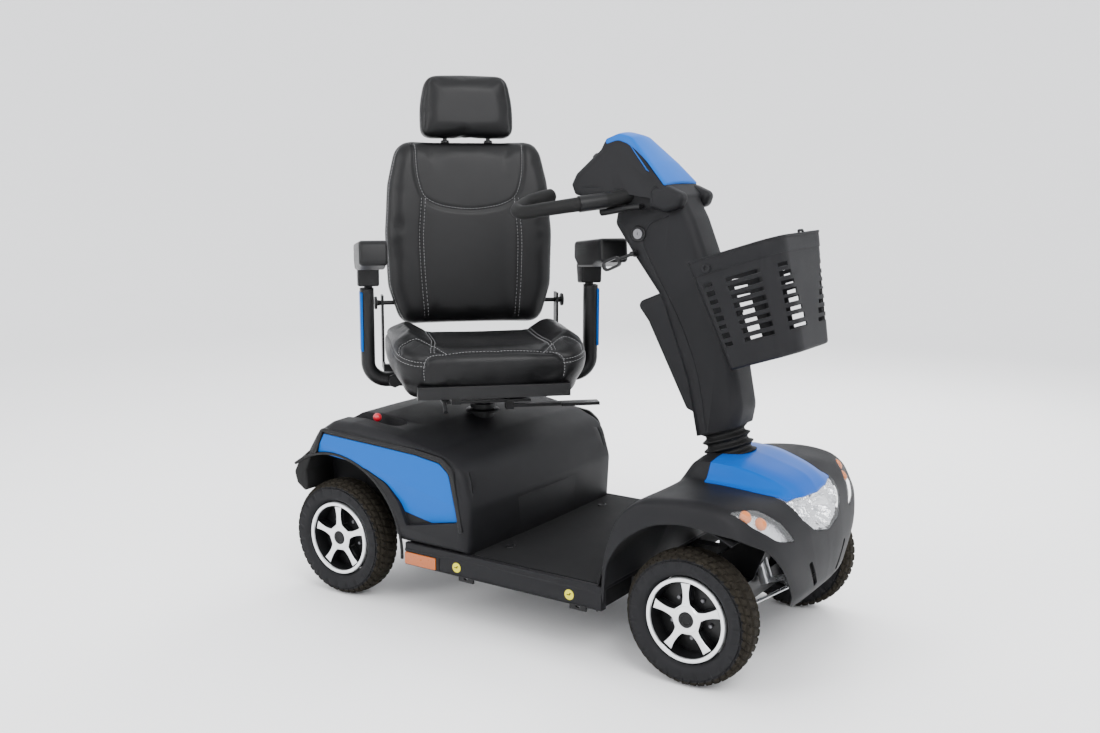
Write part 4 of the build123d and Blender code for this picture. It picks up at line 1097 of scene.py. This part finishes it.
def head_width(z):
    """Half-width of the control head as a share of its widest."""
    share = clamp((z - 1052) / 120)
    return 1.0 - 0.46 * share * share * (3 - 2 * share)


def taper(obj):
    """Narrow a piece of the control head towards its top."""
    for v in obj.data.vertices:
        v.co.x *= head_width(v.co.z / MM)
    return obj


def column():
    """Column cover with its seams and lock ring, and the glove pod on its rear side."""
    cover = moulding("column", COLUMN_SIDE, -COLUMN_HALF, COLUMN_HALF, 26, steps=8)
    boolean(cover, moulding("foot_cut", COLUMN_FOOT, -90, 90, 0.5, steps=1))
    for side in (-1, 1):
        line = smooth_line([(side * (COLUMN_HALF + 0.2), y, z) for y, z in COLUMN_SEAM], 8)
        boolean(cover, sweep("seam", line, 1.5, 8, up=(1, 0, 0)))
    lock = [Vector((-80, LOCK_Y, LOCK_Z)), Vector((-44, LOCK_Y, LOCK_Z))]
    boolean(cover, sweep("lock_hole", lock, LOCK_HOLE_R, 40))
    bevel(cover, 0.6, 2, 50)
    ring = lathe("lock_ring", [(12, -1), (19, -1), (19, 2), (17, 3.4), (13, 3.0), (12, 1)], 56)
    paint(ring, PLASTIC_FINE)
    move(ring, Matrix.Translation((-COLUMN_HALF, LOCK_Y, LOCK_Z)) @ Matrix.Rotation(-math.pi / 2, 4, "Y"))
    paint(cover, PLASTIC)
    dress(join("column_shell", [cover, ring]), "tiller", PLASTIC, ["column_cover"], 40)
    pod = moulding("pod_shell", POD_SIDE, -COLUMN_HALF + 8, COLUMN_HALF - 8, 8, steps=5)
    dress(bevel(pod, 0.6, 2, 50), "tiller", PLASTIC, ["column_pod"], 40)


def crease_radius(share):
    return 1.2 + 3.0 * math.sin(math.pi * share)


def head():
    """Control head with a crease and a lever mouth on each side, cheeks in front and the painted cap."""
    body = taper(moulding("head", HEAD_SIDE, -HEAD_HALF, HEAD_HALF, 13, steps=8))
    for side in (-1, 1):
        crease = smooth_line([(side * (HEAD_HALF + 0.5), y, z) for y, z in CREASE], 8)
        boolean(body, sweep("crease", crease, crease_radius, 10, up=(1, 0, 0)))
        low, high = span(side, 70, 96)
        boolean(body, moulding("mouth", rounded(MOUTH_SIDE, 4), low, high, 0.3, steps=1))
    cap = taper(moulding("cap", CAP_SIDE, -CAP_HALF, CAP_HALF, 4, steps=4, middle=12))
    for v in cap.data.vertices:
        v.co.z += CAP_CROWN * MM * (1 - (v.co.x / (CAP_HALF * MM * head_width(v.co.z / MM))) ** 2)
        low = clamp((CAP_TIP_Z - v.co.z / MM) / 26)
        v.co.x *= 1 - 0.2 * low * low
    cheeks = []
    for side in (-1, 1):
        low, high = span(side, 46, 85)
        cheek = paint(moulding("cheek", CHEEK_SIDE, low, high, 13, steps=7, arc=10), PLASTIC)
        cheeks.append(cheek)
    bevel(body, 0.6, 2, 50)
    paint(body, PLASTIC)
    dress(join("head_shell", [body] + cheeks), "tiller", PLASTIC, ["control_head"], 24)
    dress(cap, "tiller", BLUE, ["head_panel"], 50)
    cap.name = "head_cap"


def handlebar():
    """Two hooked grips, each with a cuff at its root."""
    grips = []
    for side in (-1, 1):
        line = smooth_line([(side * x, y, z) for x, y, z in BAR_POINTS], 10)
        length = sum((b - a).length for a, b in zip(line, line[1:]))
        ends = round_ends(BAR_R, length, 14)
        grip = sweep("grip", line, lambda at: ends(max(at, 0.2)) * (1.0 + 0.05 * math.sin(at * 9)), 32)
        cuff = paint(sweep("cuff", line[22:30], BAR_R + 2.4, 32), PLASTIC_FINE)
        paint(grip, RUBBER)
        grips += [grip, cuff]
    dress(join("handlebar_grips", grips), "tiller", RUBBER, ["handlebar"], 40)


PADDLE = [(88, -244, 1010), (90, -214, 1007), (94, -180, 1001), (97, -146, 996)]


def paddle_radius(share):
    return 8.0 + 9.0 * max(0.0, share - 0.4) * (1.9 - share * 1.1)


def thumb_levers():
    """A paddle on each end of the cross shaft."""
    shaft = sweep("shaft", [Vector((-92, -240, 1010)), Vector((92, -240, 1010))], 4.8, 24)
    parts = [paint(shaft, STEEL)]
    for side in (-1, 1):
        line = smooth_line([(side * x, y, z) for x, y, z in PADDLE], 8)
        parts.append(paint(sweep("paddle", line, paddle_radius, 20, 0.8), PLASTIC_FINE))
    dress(join("thumb_levers", parts), "drive_lever", PLASTIC_FINE, ["drive_lever"], 40)


def dash():
    """Display window and bezel on the rider's side of the head."""
    z = Vector((0, 0.735, 0.678))
    x = Vector((1, 0, 0))
    place = Matrix.Translation((0, -86, 1108)) @ Matrix((x, z.cross(x), z)).transposed().to_4x4()
    frame_edge = rounded([(-34, 1, 6), (34, 1, 6), (34, 29, 6), (-34, 29, 6)], 6)
    bezel = paint(moulding("bezel", frame_edge, -4, 2.6, 1.2, axis="Z"), PLASTIC_FINE)
    window = rounded([(-29, 5, 4), (29, 5, 4), (29, 25, 4), (-29, 25, 4)], 6)
    glass = paint(moulding("glass", window, 1.6, 3.2, 0.5, axis="Z"), GLASS_DARK)
    parts = [move(bezel, place), move(glass, place)]
    dress(join("dash_window", parts), "tiller", GLASS_DARK, ["dash_display"])
    knob = lathe("knob", [(0.1, 3), (14.5, 3), (15, 5), (14, 13), (12, 15), (0.1, 15.4)], 60)
    for v in knob.data.vertices:
        angle = math.atan2(v.co.y, v.co.x)
        if v.co.z < 14 * MM:
            v.co.xy *= 1 + 0.035 * math.cos(12 * angle)
    pointer = paint(block("pointer", (-1, 3, 15), (1, 13, 16.4), 0.3), THREAD)
    paint(knob, PLASTIC_FINE)
    stem = paint(lathe("stem", [(0.1, -8), (8.9, -8), (8.9, 4), (0.1, 4)], 40), PLASTIC_FINE)
    dial = place @ Matrix.Translation((0, -14, 0))
    whole = join("speed_knob", [move(part, dial) for part in (knob, pointer, stem)])
    dress(whole, "speed_dial", PLASTIC_FINE, ["speed_dial"])


# ---- basket
BASKET_PLACE = Matrix.Translation((0, -565, 690)) @ Matrix.Rotation(math.radians(-18.6), 4, "X")
BASKET_H = 246.0
BASKET_COLUMNS = 440
BASKET_LEVELS = 82
BASKET_SLOTS = 8


def basket_outline(height):
    """Closed plan outline of the basket at a share of its height."""
    rear = 138 + 36 * height
    front = 112 + 24 * height
    y_rear = 72 + 13 * height
    y_front = -82 - 36 * height
    return rounded([(-rear, y_rear, 14), (-front - 8, y_front + 26, 40), (-front + 34, y_front, 60),
                    (front - 34, y_front, 60), (front + 8, y_front + 26, 40), (rear, y_rear, 14)], 12)


def resampled(outline, count):
    """Evenly spaced points along a closed outline, starting in the middle of its last side."""
    start = (outline[-1] + outline[0]) / 2
    loop = [start] + outline + [start]
    lengths = [0.0]
    for a, b in zip(loop, loop[1:]):
        lengths.append(lengths[-1] + (b - a).length)
    out, k = [], 0
    for i in range(count):
        target = lengths[-1] * i / count
        while lengths[k + 1] < target:
            k += 1
        out.append(loop[k].lerp(loop[k + 1], (target - lengths[k]) / max(1e-6, lengths[k + 1] - lengths[k])))
    return out


def slot_open(share, height):
    """Whether the basket wall is open there: slots on both flanks and, stepped, on the front."""
    rise = (height - 0.16) / 0.62 * BASKET_SLOTS
    if not 0 <= rise < BASKET_SLOTS or rise % 1.0 < 0.46:
        return False
    step = math.floor(rise) / (BASKET_SLOTS - 1)
    s = min(share, 1 - share) * 2
    flank_rear = 0.375 < s < 0.42
    flank = 0.485 < s < 0.655
    front = 0.74 < s < 0.80 + 0.12 * (1 - step)
    back = 0.03 < s < 0.2
    return flank_rear or flank or front or back


def basket():
    """Slotted tub with a dished floor, two bands round its rim, side bosses and the front clip."""
    rings = []
    for level in range(BASKET_LEVELS + 1):
        height = level / BASKET_LEVELS
        plan = resampled(basket_outline(height), BASKET_COLUMNS)
        rings.append([(p.x, p.y, height * BASKET_H) for p in plan])
    points = [p for ring in rings for p in ring]
    faces = []
    for r in range(BASKET_LEVELS):
        for i in range(BASKET_COLUMNS):
            j = (i + 1) % BASKET_COLUMNS
            if not slot_open((i + 0.5) / BASKET_COLUMNS, (r + 0.5) / BASKET_LEVELS):
                faces.append((r * BASKET_COLUMNS + i, r * BASKET_COLUMNS + j,
                              (r + 1) * BASKET_COLUMNS + j, (r + 1) * BASKET_COLUMNS + i))
    base = [Vector(p) for p in rings[0]]
    middle = sum(base, Vector()) / len(base)
    last = list(range(BASKET_COLUMNS))
    for shrink, drop in ((0.97, 3.2), (0.93, 4.2), (0.6, 4.2), (0.3, 4.2)):
        first = len(points)
        points += [(middle + (p - middle) * shrink) - Vector((0, 0, drop)) for p in base]
        ring = list(range(first, first + BASKET_COLUMNS))
        faces += [(last[i], ring[i], ring[(i + 1) % BASKET_COLUMNS], last[(i + 1) % BASKET_COLUMNS])
                  for i in range(BASKET_COLUMNS)]
        last = ring
    faces.append(tuple(last))
    tub = new_object("tub", points, faces)
    thicken(tub, 3.4, -1.0)
    parts = [tub]
    for low, high, proud in ((0.86, 1.0, 1.6), (0.985, 1.005, 2.8)):
        outer = [inset(resampled(basket_outline(h), BASKET_COLUMNS // 2), -proud) for h in (low, high)]
        inner = [inset(resampled(basket_outline(h), BASKET_COLUMNS // 2), 1.0) for h in (high, low)]
        levels = [low * BASKET_H, high * BASKET_H, high * BASKET_H, low * BASKET_H]
        loops = [[(p.x, p.y, z) for p in ring] for ring, z in zip(outer + inner, levels)]
        count = len(loops[0])
        band_points = [p for loop in loops for p in loop]
        band_faces = []
        for r in range(4):
            for i in range(count):
                a, b = r * count + i, r * count + (i + 1) % count
                c, d = ((r + 1) % 4) * count + (i + 1) % count, ((r + 1) % 4) * count + i
                band_faces.append((a, b, c, d))
        parts.append(bevel(new_object("band", band_points, band_faces), 0.5, 2, 40))
    for side in (-1, 1):
        boss = lathe("boss", [(0.1, 0), (10, 0), (10, 3), (8.6, 4.2), (5, 4.2), (4.4, 1.6), (0.1, 1.6)], 40)
        lean = Matrix.Rotation(side * math.radians(81), 4, "Y")
        parts.append(move(boss, Matrix.Translation((side * 165, 44, BASKET_H * 0.905)) @ lean))
    hook = smooth_line([(-13, -117, 244), (-9, -117, 252), (9, -117, 252), (13, -117, 244)], 5)
    parts.append(sweep("clip", hook, 3.0, 12, up=(0, 1, 0)))
    for part in parts:
        part.data.materials.clear()
        paint(part, PLASTIC)
    whole = join("slotted_basket", parts)
    move(whole, BASKET_PLACE)
    dress(whole, "tiller", PLASTIC, ["basket"], 40)


# ---- bellows between the hood and the column
BOOT_FOLDS = 4
BOOT_LOW = -8.0
BOOT_HIGH = 74.0


def boot():
    """Folded rubber bellows between the hood and the column."""
    outer = [(64, BOOT_LOW - 10), (63, BOOT_LOW - 4), (58, BOOT_LOW - 1)]
    pitch = (BOOT_HIGH - BOOT_LOW) / BOOT_FOLDS
    steps = 14
    for i in range(BOOT_FOLDS * steps + 1):
        share = i / steps
        wave = 0.5 + 0.5 * math.cos(2 * math.pi * (share - 0.32))
        radius = 52 - 2.0 * share + 10.0 * wave ** 1.6
        outer.append((radius, BOOT_LOW + pitch * share))
    inner = [(r - 2.2, z) for r, z in reversed(outer)]
    bellows = lathe("rubber_bellows", outer + inner, 96)
    turn = Matrix.Rotation(-RAKE, 4, "X")
    move(bellows, Matrix.Translation(BOOT_CENTRE) @ turn)
    dress(bellows, None, RUBBER, ["boot"], 80)
    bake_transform(bellows)


# ---- seat
STITCH = 5.0
STITCH_GAP = 2.2
THREAD_R = 0.65
FORM_VOXEL = 8.0          # face size of the cushion and backrest before they are puffed
SIM_FRAMES = 20


def stuffed(obj, cap, pressure=4.0, voxel=7.0):
    """Puff a closed form like a filled cover: remesh, inflate as cloth, cap the swelling, smooth."""
    remesh(obj, voxel)
    rest = [v.co.copy() for v in obj.data.vertices]
    cloth = obj.modifiers.new("puff", "CLOTH")
    cloth.settings.use_pressure = True
    cloth.settings.uniform_pressure_force = pressure
    cloth.settings.quality = 4
    cloth.settings.effector_weights.gravity = 0.0
    scene = bpy.context.scene
    for step in range(1, SIM_FRAMES + 1):
        scene.frame_set(step)
    bake(obj)
    for v, start in zip(obj.data.vertices, rest):
        moved = v.co - start
        if moved.length > cap * MM:
            v.co = start + moved.normalized() * (cap * MM)
    scene.frame_set(1)
    smooth = obj.modifiers.new("relax", "SMOOTH")
    smooth.factor = 0.5
    smooth.iterations = 4
    bake(obj)
    return subdivide(obj, 1)


def surface_of(obj):
    """Search tree of a piece's surface."""
    graph = bpy.context.evaluated_depsgraph_get()
    return BVHTree.FromObject(obj, graph)


def on_surface(tree, line, shift=0.0, lift=0.0):
    """The line laid on the surface, shifted sideways and lifted off it."""
    laid = []
    for i, p in enumerate(line):
        ahead = (line[min(i + 1, len(line) - 1)] - line[max(i - 1, 0)]).normalized()
        place, normal, _, _ = tree.find_nearest(p * MM)
        if shift:
            place, normal, _, _ = tree.find_nearest(place + normal.cross(ahead) * (shift * MM))
        laid.append(place / MM + normal * lift)
    return laid


def sew(obj, seams, depth=3.5, width=6.0):
    """Pull the cover in along each seam and return the stitches beside it."""
    tree = surface_of(obj)
    laid = [on_surface(tree, smooth_line(points, 14)) for points, _ in seams]
    beside = [on_surface(tree, smooth_line(points, 60), shift)
              for points, shifts in seams for shift in shifts]
    count = sum(len(line) for line in laid)
    lookup = KDTree(count)
    index = 0
    for line in laid:
        for p in line:
            lookup.insert(p, index)
            index += 1
    lookup.balance()
    obj.data.update()
    normals = [v.normal.copy() for v in obj.data.vertices]
    for v, n in zip(obj.data.vertices, normals):
        _, _, away = lookup.find(v.co / MM)
        if away < 3 * width:
            v.co -= n * (depth * MM * math.exp(-((away / width) ** 2)))
    obj.data.update()
    tree = surface_of(obj)
    return [capsule_row("stitches", on_surface(tree, line, lift=0.35), STITCH, STITCH_GAP, THREAD_R)
            for line in beside]


def both(points):
    """A line and its mirror image."""
    return [points, [(-x, y, z) for x, y, z in points]]


def cushion():
    """Seat pad with raised sides, hollow in the middle, and its stitching."""
    outline = [(-250, -212, 70), (-90, -236, 200), (90, -236, 200), (250, -212, 70), (254, 150, 50),
               (190, 164, 30), (-190, 164, 30), (-254, 150, 50)]
    pad = moulding("pad", outline, 538, 646, 30, axis="Z", steps=6, arc=8)
    remesh(pad, FORM_VOXEL)
    for v in pad.data.vertices:
        x, y, z = v.co / MM
        top = clamp((z - 600) / 40)
        side = clamp((abs(x) - 120) / 90)
        rise = 30 * side * side * (3 - 2 * side) * clamp((y + 232) / 120)
        dip = -7 * math.exp(-((x / 120) ** 2) - (((y - 20) / 110) ** 2))
        v.co.z += top * (rise + dip + 4) * MM
        low = clamp((640 - z) / 70)
        v.co.x *= 1 - 0.10 * low * low
        v.co.y -= (0.10 * low * low) * (v.co.y + 0.03)
    stuffed(pad, 9)
    seams = [([(-172, -222, 578), (-174, -244, 612), (-168, -236, 642), (-142, -218, 660), (-80, -214, 664),
               (0, -213, 664), (80, -214, 664), (142, -218, 660), (168, -236, 642), (174, -244, 612),
               (172, -222, 578)], (3,))]
    for line in both([(-174, -246, 624), (-215, -226, 628), (-250, -182, 640), (-266, -90, 652),
                      (-266, 20, 658), (-256, 130, 656)]):
        seams.append((line, (-4.5, 4.5)))
    for line in both([(-250, -190, 656), (-232, -158, 676), (-190, -142, 684), (-146, -172, 672),
                      (-120, -214, 662)]):
        seams.append((line, (3,)))
    for line in both([(-150, -200, 664), (-140, -60, 655), (-140, 80, 655), (-150, 160, 650)]):
        seams.append((line, (-4, 4)))
    finish_padding("seat_cushion_cover", pad, sew(pad, seams), SEAT_PLACE, "seat_base", "seat_cushion")


def finish_padding(name, pad, stitches, place, body, node_name):
    """Dress a padded cover, put it in place and let its stitching ride with it."""
    thread = join(name + "_stitching", stitches)
    pad.name = name
    for piece in (pad, thread):
        move(piece, place)
        fix_normals(piece)
    dress(pad, body, LEATHER, [node_name], 70)
    dress(thread, body, THREAD, (), 80)


def backrest():
    """Backrest pad with its yoke seam, and the plastic shell behind it."""
    outline = [(-200, -66, 46), (-234, 40, 90), (-241, 190, 300), (-230, 330, 160), (-202, 446, 52),
               (202, 446, 52), (230, 330, 160), (241, 190, 300), (234, 40, 90), (200, -66, 46)]
    pad = moulding("pad", outline, -36, 38, 26, axis="Y", steps=6, arc=8)
    remesh(pad, FORM_VOXEL)
    for v in pad.data.vertices:
        x, y, z = v.co / MM
        front = clamp((10 - y) / 30)
        side = clamp((abs(x) - 100) / 110)
        belly = math.sin(math.pi * clamp((z + 40) / 460))
        v.co.y -= front * (9 * side - 4 + 6 * belly) * MM
    stuffed(pad, 9)
    front = -60
    yoke = [(-152, -30, 446), (-149, front, 366), (-130, front, 290), (-72, front, 258), (0, front, 250),
            (72, front, 258), (130, front, 290), (149, front, 366), (152, -30, 446)]
    seams = [(yoke, (4,))]
    for line in both([(-127, front, 284), (-135, front, 170), (-132, front, 76), (-124, -40, -52)]):
        seams.append((line, (-5, 5)))
    for line in both([(-212, -24, 430), (-234, -24, 330), (-247, -24, 190), (-240, -24, 40),
                      (-206, -24, -46)]):
        seams.append((line, (4,)))
    finish_padding("backrest_cover", pad, sew(pad, seams), BACK_PLACE, "backrest", "backrest")
    plan = [(-180, -20, 40), (-206, 190, 200), (-178, 400, 40), (178, 400, 40), (206, 190, 200),
            (180, -20, 40)]
    shell = moulding("shell", plan, 34, 49, 5, axis="Y", steps=4, arc=8)
    move(shell, BACK_PLACE)
    fix_normals(shell)
    dress(shell, "backrest", PLASTIC)
    shell.name = "backrest_shell"


def headrest():
    """Headrest pad, creased down both edges, on two posts with collars."""
    outline = [(-130, 450, 26), (-127, 540, 200), (-112, 620, 34), (112, 620, 34), (127, 540, 200),
               (130, 450, 26)]
    pad = moulding("pad", outline, -30, 42, 26, axis="Y", steps=6, arc=7)
    stuffed(pad, 6)
    seams = [(line, (3,)) for line in both([(-126, -30, 470), (-122, -30, 545), (-110, -28, 612)])]
    stitches = sew(pad, seams, 2.0, 5.0)
    for s in stitches:
        bpy.data.objects.remove(s)
    posts = []
    for side in (-1, 1):
        x = side * 60
        posts.append(sweep("post", [Vector((x, 6, 268)), Vector((x, 6, 470))], 5.9, 24, up=(0, 1, 0)))
        collar = lathe("collar", [(6.2, 0), (12, 0), (12, 4), (10, 7), (6.2, 7)], 32)
        posts.append(move(collar, Matrix.Translation((x, 6, 438))))
    posts = join("headrest_posts", posts)
    move(posts, BACK_PLACE)
    fix_normals(posts)
    pad.name = "headrest_cover"
    move(pad, BACK_PLACE)
    fix_normals(pad)
    dress(pad, "headrest", LEATHER, ["headrest"], 70)
    dress(posts, "headrest", STEEL)


ARM_X = 292.0
ARM_Y = 30.0
ARM_PIVOT_Z = 806.0
ARM_TUBE_HALF = 18.0
ARM_TUBE_DEEP = 27.0


def arms():
    """Curved tubes from under the cushion to the pads, with painted inserts and clamp knobs."""
    parts, inserts = [], []
    for side in (-1, 1):
        line = [Vector((side * 190, ARM_Y, 545)), Vector((side * 226, ARM_Y, 545))]
        for k in range(13):
            angle = math.radians(-90 + 90 * k / 12)
            line.append(Vector((side * (248 + 48 * math.cos(angle)), ARM_Y, 593 + 48 * math.sin(angle))))
        line += [Vector((side * 296, ARM_Y, z)) for z in (640, 700, 760, 778, 784)]
        tube = sweep("tube", line, ARM_TUBE_HALF, 32, ARM_TUBE_DEEP / ARM_TUBE_HALF, up=(0, 1, 0))
        square_off(tube, side)
        paint(tube, STEEL)
        neck = lathe("neck", [(0.1, 782), (11, 782), (11, 790), (13.5, 792), (13.5, 797), (9, 800),
                              (0.1, 800)], 36)
        paint(neck, STEEL)
        move(neck, Matrix.Translation((side * ARM_X, ARM_Y, 0)))
        hub = paint(lathe("hub", [(6.2, -12.5), (15, -12.5), (15, 12.5), (6.2, 12.5)], 40), STEEL)
        pivot = Matrix.Translation((side * ARM_X, ARM_Y, ARM_PIVOT_Z))
        move(hub, pivot @ Matrix.Rotation(math.pi / 2, 4, "Y"))
        knob = lathe("knob", [(0.1, 0), (16, 0), (18, 3), (18, 10), (15, 14), (0.1, 14)], 8)
        paint(knob, PLASTIC_FINE)
        move(knob, Matrix.Translation((side * 230, ARM_Y - 22, 545)) @ Matrix.Rotation(math.pi / 2, 4, "X"))
        parts += [tube, neck, hub, knob]
        low, high = span(side, 308.0, 314.6)
        outline = rounded([(ARM_Y - 26, 622, 5), (ARM_Y + 26, 622, 5), (ARM_Y + 26, 776, 5),
                           (ARM_Y - 26, 776, 5)], 4)
        inserts.append(moulding("insert", outline, low, high, 1.0, steps=3))
    tubes = join("arm_tubes", parts)
    move(tubes, SEAT_PLACE)
    dress(tubes, "seat_base", STEEL, ["arm_brackets"], 40)
    blue = join("arm_inserts", inserts)
    move(blue, SEAT_PLACE)
    dress(blue, "seat_base", BLUE)


def square_off(tube, side):
    """Push a tube's oval section out towards a rounded rectangle."""
    for v in tube.data.vertices:
        y = (v.co.y / MM - ARM_Y) / ARM_TUBE_DEEP
        v.co.y = (ARM_Y + ARM_TUBE_DEEP * math.copysign(min(1.0, abs(y) ** 0.55), y)) * MM


def arm_pads():
    """Padded armrests with a groove down each flank, hinge lugs, a skirt round them and the pin."""
    for side, name in ((1, "left"), (-1, "right")):
        place = SEAT_PLACE @ Matrix.Translation((side * ARM_X, ARM_Y, ARM_PIVOT_Z)) \
            @ Matrix.Rotation(math.radians(-5.5), 4, "X")
        outline = [(-278, 34, 12), (-272, 94, 16), (30, 94, 14), (34, 48, 14), (-10, 25, 16),
                   (-170, 25, 20), (-216, 34, 20)]
        pad = moulding("pad", outline, -34, 34, 8, steps=6, middle=3)
        groove = rounded([(-285, 71, 0.6), (45, 71, 0.6), (45, 73, 0.6), (-285, 73, 0.6)], 2)
        for x in (-36, 33):
            boolean(pad, moulding("groove", groove, x, x + 3, 0.2, steps=1))
        paint(pad, LEATHER)
        lugs = []
        for s in (-1, 1):
            lug = moulding("lug", rounded([(-16, 28, 3), (-14, -8, 8), (14, -8, 8), (16, 28, 3)], 5),
                           s * 17 - 3, s * 17 + 3, 1)
            paint(lug, STEEL)
            lugs.append(lug)
        flap = rounded([(-38, 36, 6), (-27, -17, 5), (27, -17, 5), (38, 36, 6)], 5)
        skirt = moulding("skirt", flap, -27, 27, 5, steps=5)
        boolean(skirt, block("cavity", (-20, -23, -40), (20, 23, 28)))
        paint(skirt, LEATHER)
        lugs.append(skirt)
        pin = paint(lathe("pin", [(0.1, -20), (5.9, -20), (5.9, 20), (0.1, 20)], 32), STEEL)
        lugs.append(move(pin, Matrix.Rotation(math.pi / 2, 4, "Y")))
        whole = join(f"arm_pad_cover_{name}", [pad] + lugs)
        move(whole, place)
        fix_normals(whole)
        dress(whole, f"arm_pad_{name}", LEATHER, [f"arm_pad_{name}"], 40)


def seat_fittings():
    """Round knobs on the backrest's hinge."""
    knobs = []
    for side in (-1, 1):
        knob = lathe("knob", [(0.1, 0), (7, 0), (8, 8), (17, 9), (18, 12), (17, 16), (0.1, 17)], 40)
        turn = Matrix.Rotation(side * math.pi / 2, 4, "Y")
        knobs.append(move(knob, Matrix.Translation((side * 249, 240, 720)) @ turn))
    knobs = join("hinge_knobs", knobs)
    move(knobs, SEAT_PLACE)
    fix_normals(knobs)
    dress(knobs, "seat_base", PLASTIC_FINE)


# ---- CAD nodes that keep their own shape
NODE_LOOKS = {
    STEEL: ("main_frame", "steering_head", "seat_tower", "front_axle", "seat_post", "seat_base",
            "swivel_lever", "basket_bracket", "tiller_tube", "tie_down_eyes", "slide_lever", "tilt_lever",
            "knuckle_left", "knuckle_right"),
    CASTING: ("transaxle", "key_lock"),
    DARK: ("batteries", "controller"),
    ZINC: ("tie_rod_left", "tie_rod_right", "steering_shaft"),
    PLASTIC_FINE: ("horn_button", "lamp_button"),
    RED_KNOB: ("freewheel_lever",),
}


def carried_nodes():
    """Give each of these nodes its one material."""
    for look, names in NODE_LOOKS.items():
        for name in names:
            node_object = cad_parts[name]
            node_object.data.materials.clear()
            paint(node_object, look)


# ---- studio
def studio():
    """Pale floor that curves up into a round backdrop, large soft lights and the camera."""
    profile = [(0.0, 0.0), (1500.0, 0.0), (4800.0, 0.0)]
    profile += [(4800 + 2400 * math.sin(math.radians(a)), 2400 - 2400 * math.cos(math.radians(a)))
                for a in range(6, 91, 6)]
    profile += [(7200.0, 4200.0)]
    sweep_floor = lathe("studio_floor", [(max(0.1, r), z) for r, z in profile], 96, closed=False)
    paint(sweep_floor, FLOOR)
    sweep_floor.data.shade_smooth()
    world = bpy.data.worlds.new("studio")
    world.use_nodes = True
    world.node_tree.nodes["Background"].inputs["Color"].default_value = (0.97, 0.98, 1.0, 1)
    world.node_tree.nodes["Background"].inputs["Strength"].default_value = 1.9
    bpy.context.scene.world = world
    lights = (
        ("key", (-2.2, -3.0, 3.4), 2.2, 170),
        ("fill", (-3.6, 1.6, 2.2), 1.6, 70),
        ("top", (0.6, 0.6, 3.9), 2.6, 120),
        ("rim", (3.0, 0.2, 2.4), 1.6, 80),
    )
    for name, place, size, power in lights:
        lamp = bpy.data.lights.new(name, "AREA")
        lamp.size = size
        lamp.energy = power
        holder = bpy.data.objects.new(name, lamp)
        holder.location = place
        holder.rotation_mode = "QUATERNION"
        holder.rotation_quaternion = (Vector((0, 0, 0.5)) - Vector(place)).to_track_quat("-Z", "Y")
        holder.visible_glossy = name in ("key", "fill")
        bpy.context.scene.collection.objects.link(holder)
    camera = bpy.data.cameras.new("camera")
    camera.lens = 40.06
    camera.sensor_width = 36.0
    holder = bpy.data.objects.new("camera", camera)
    holder.location = (-2.5407, -1.6271, 1.1336)
    yaw, pitch, roll = math.radians(56.42), math.radians(-9.975), math.radians(-0.27)
    aim = Vector((math.sin(yaw) * math.cos(pitch), math.cos(yaw) * math.cos(pitch), math.sin(pitch)))
    holder.rotation_mode = "QUATERNION"
    holder.rotation_quaternion = Quaternion(aim, roll) @ aim.to_track_quat("-Z", "Y")
    bpy.context.scene.collection.objects.link(holder)
    bpy.context.scene.camera = holder


def main():
    studio()
    wheels()
    front_shroud()
    rear_cover()
    rear_bumper()
    tail_lamps()
    floor()
    column()
    head()
    handlebar()
    thumb_levers()
    dash()
    basket()
    boot()
    cushion()
    backrest()
    headrest()
    arms()
    arm_pads()
    seat_fittings()
    carried_nodes()


main()
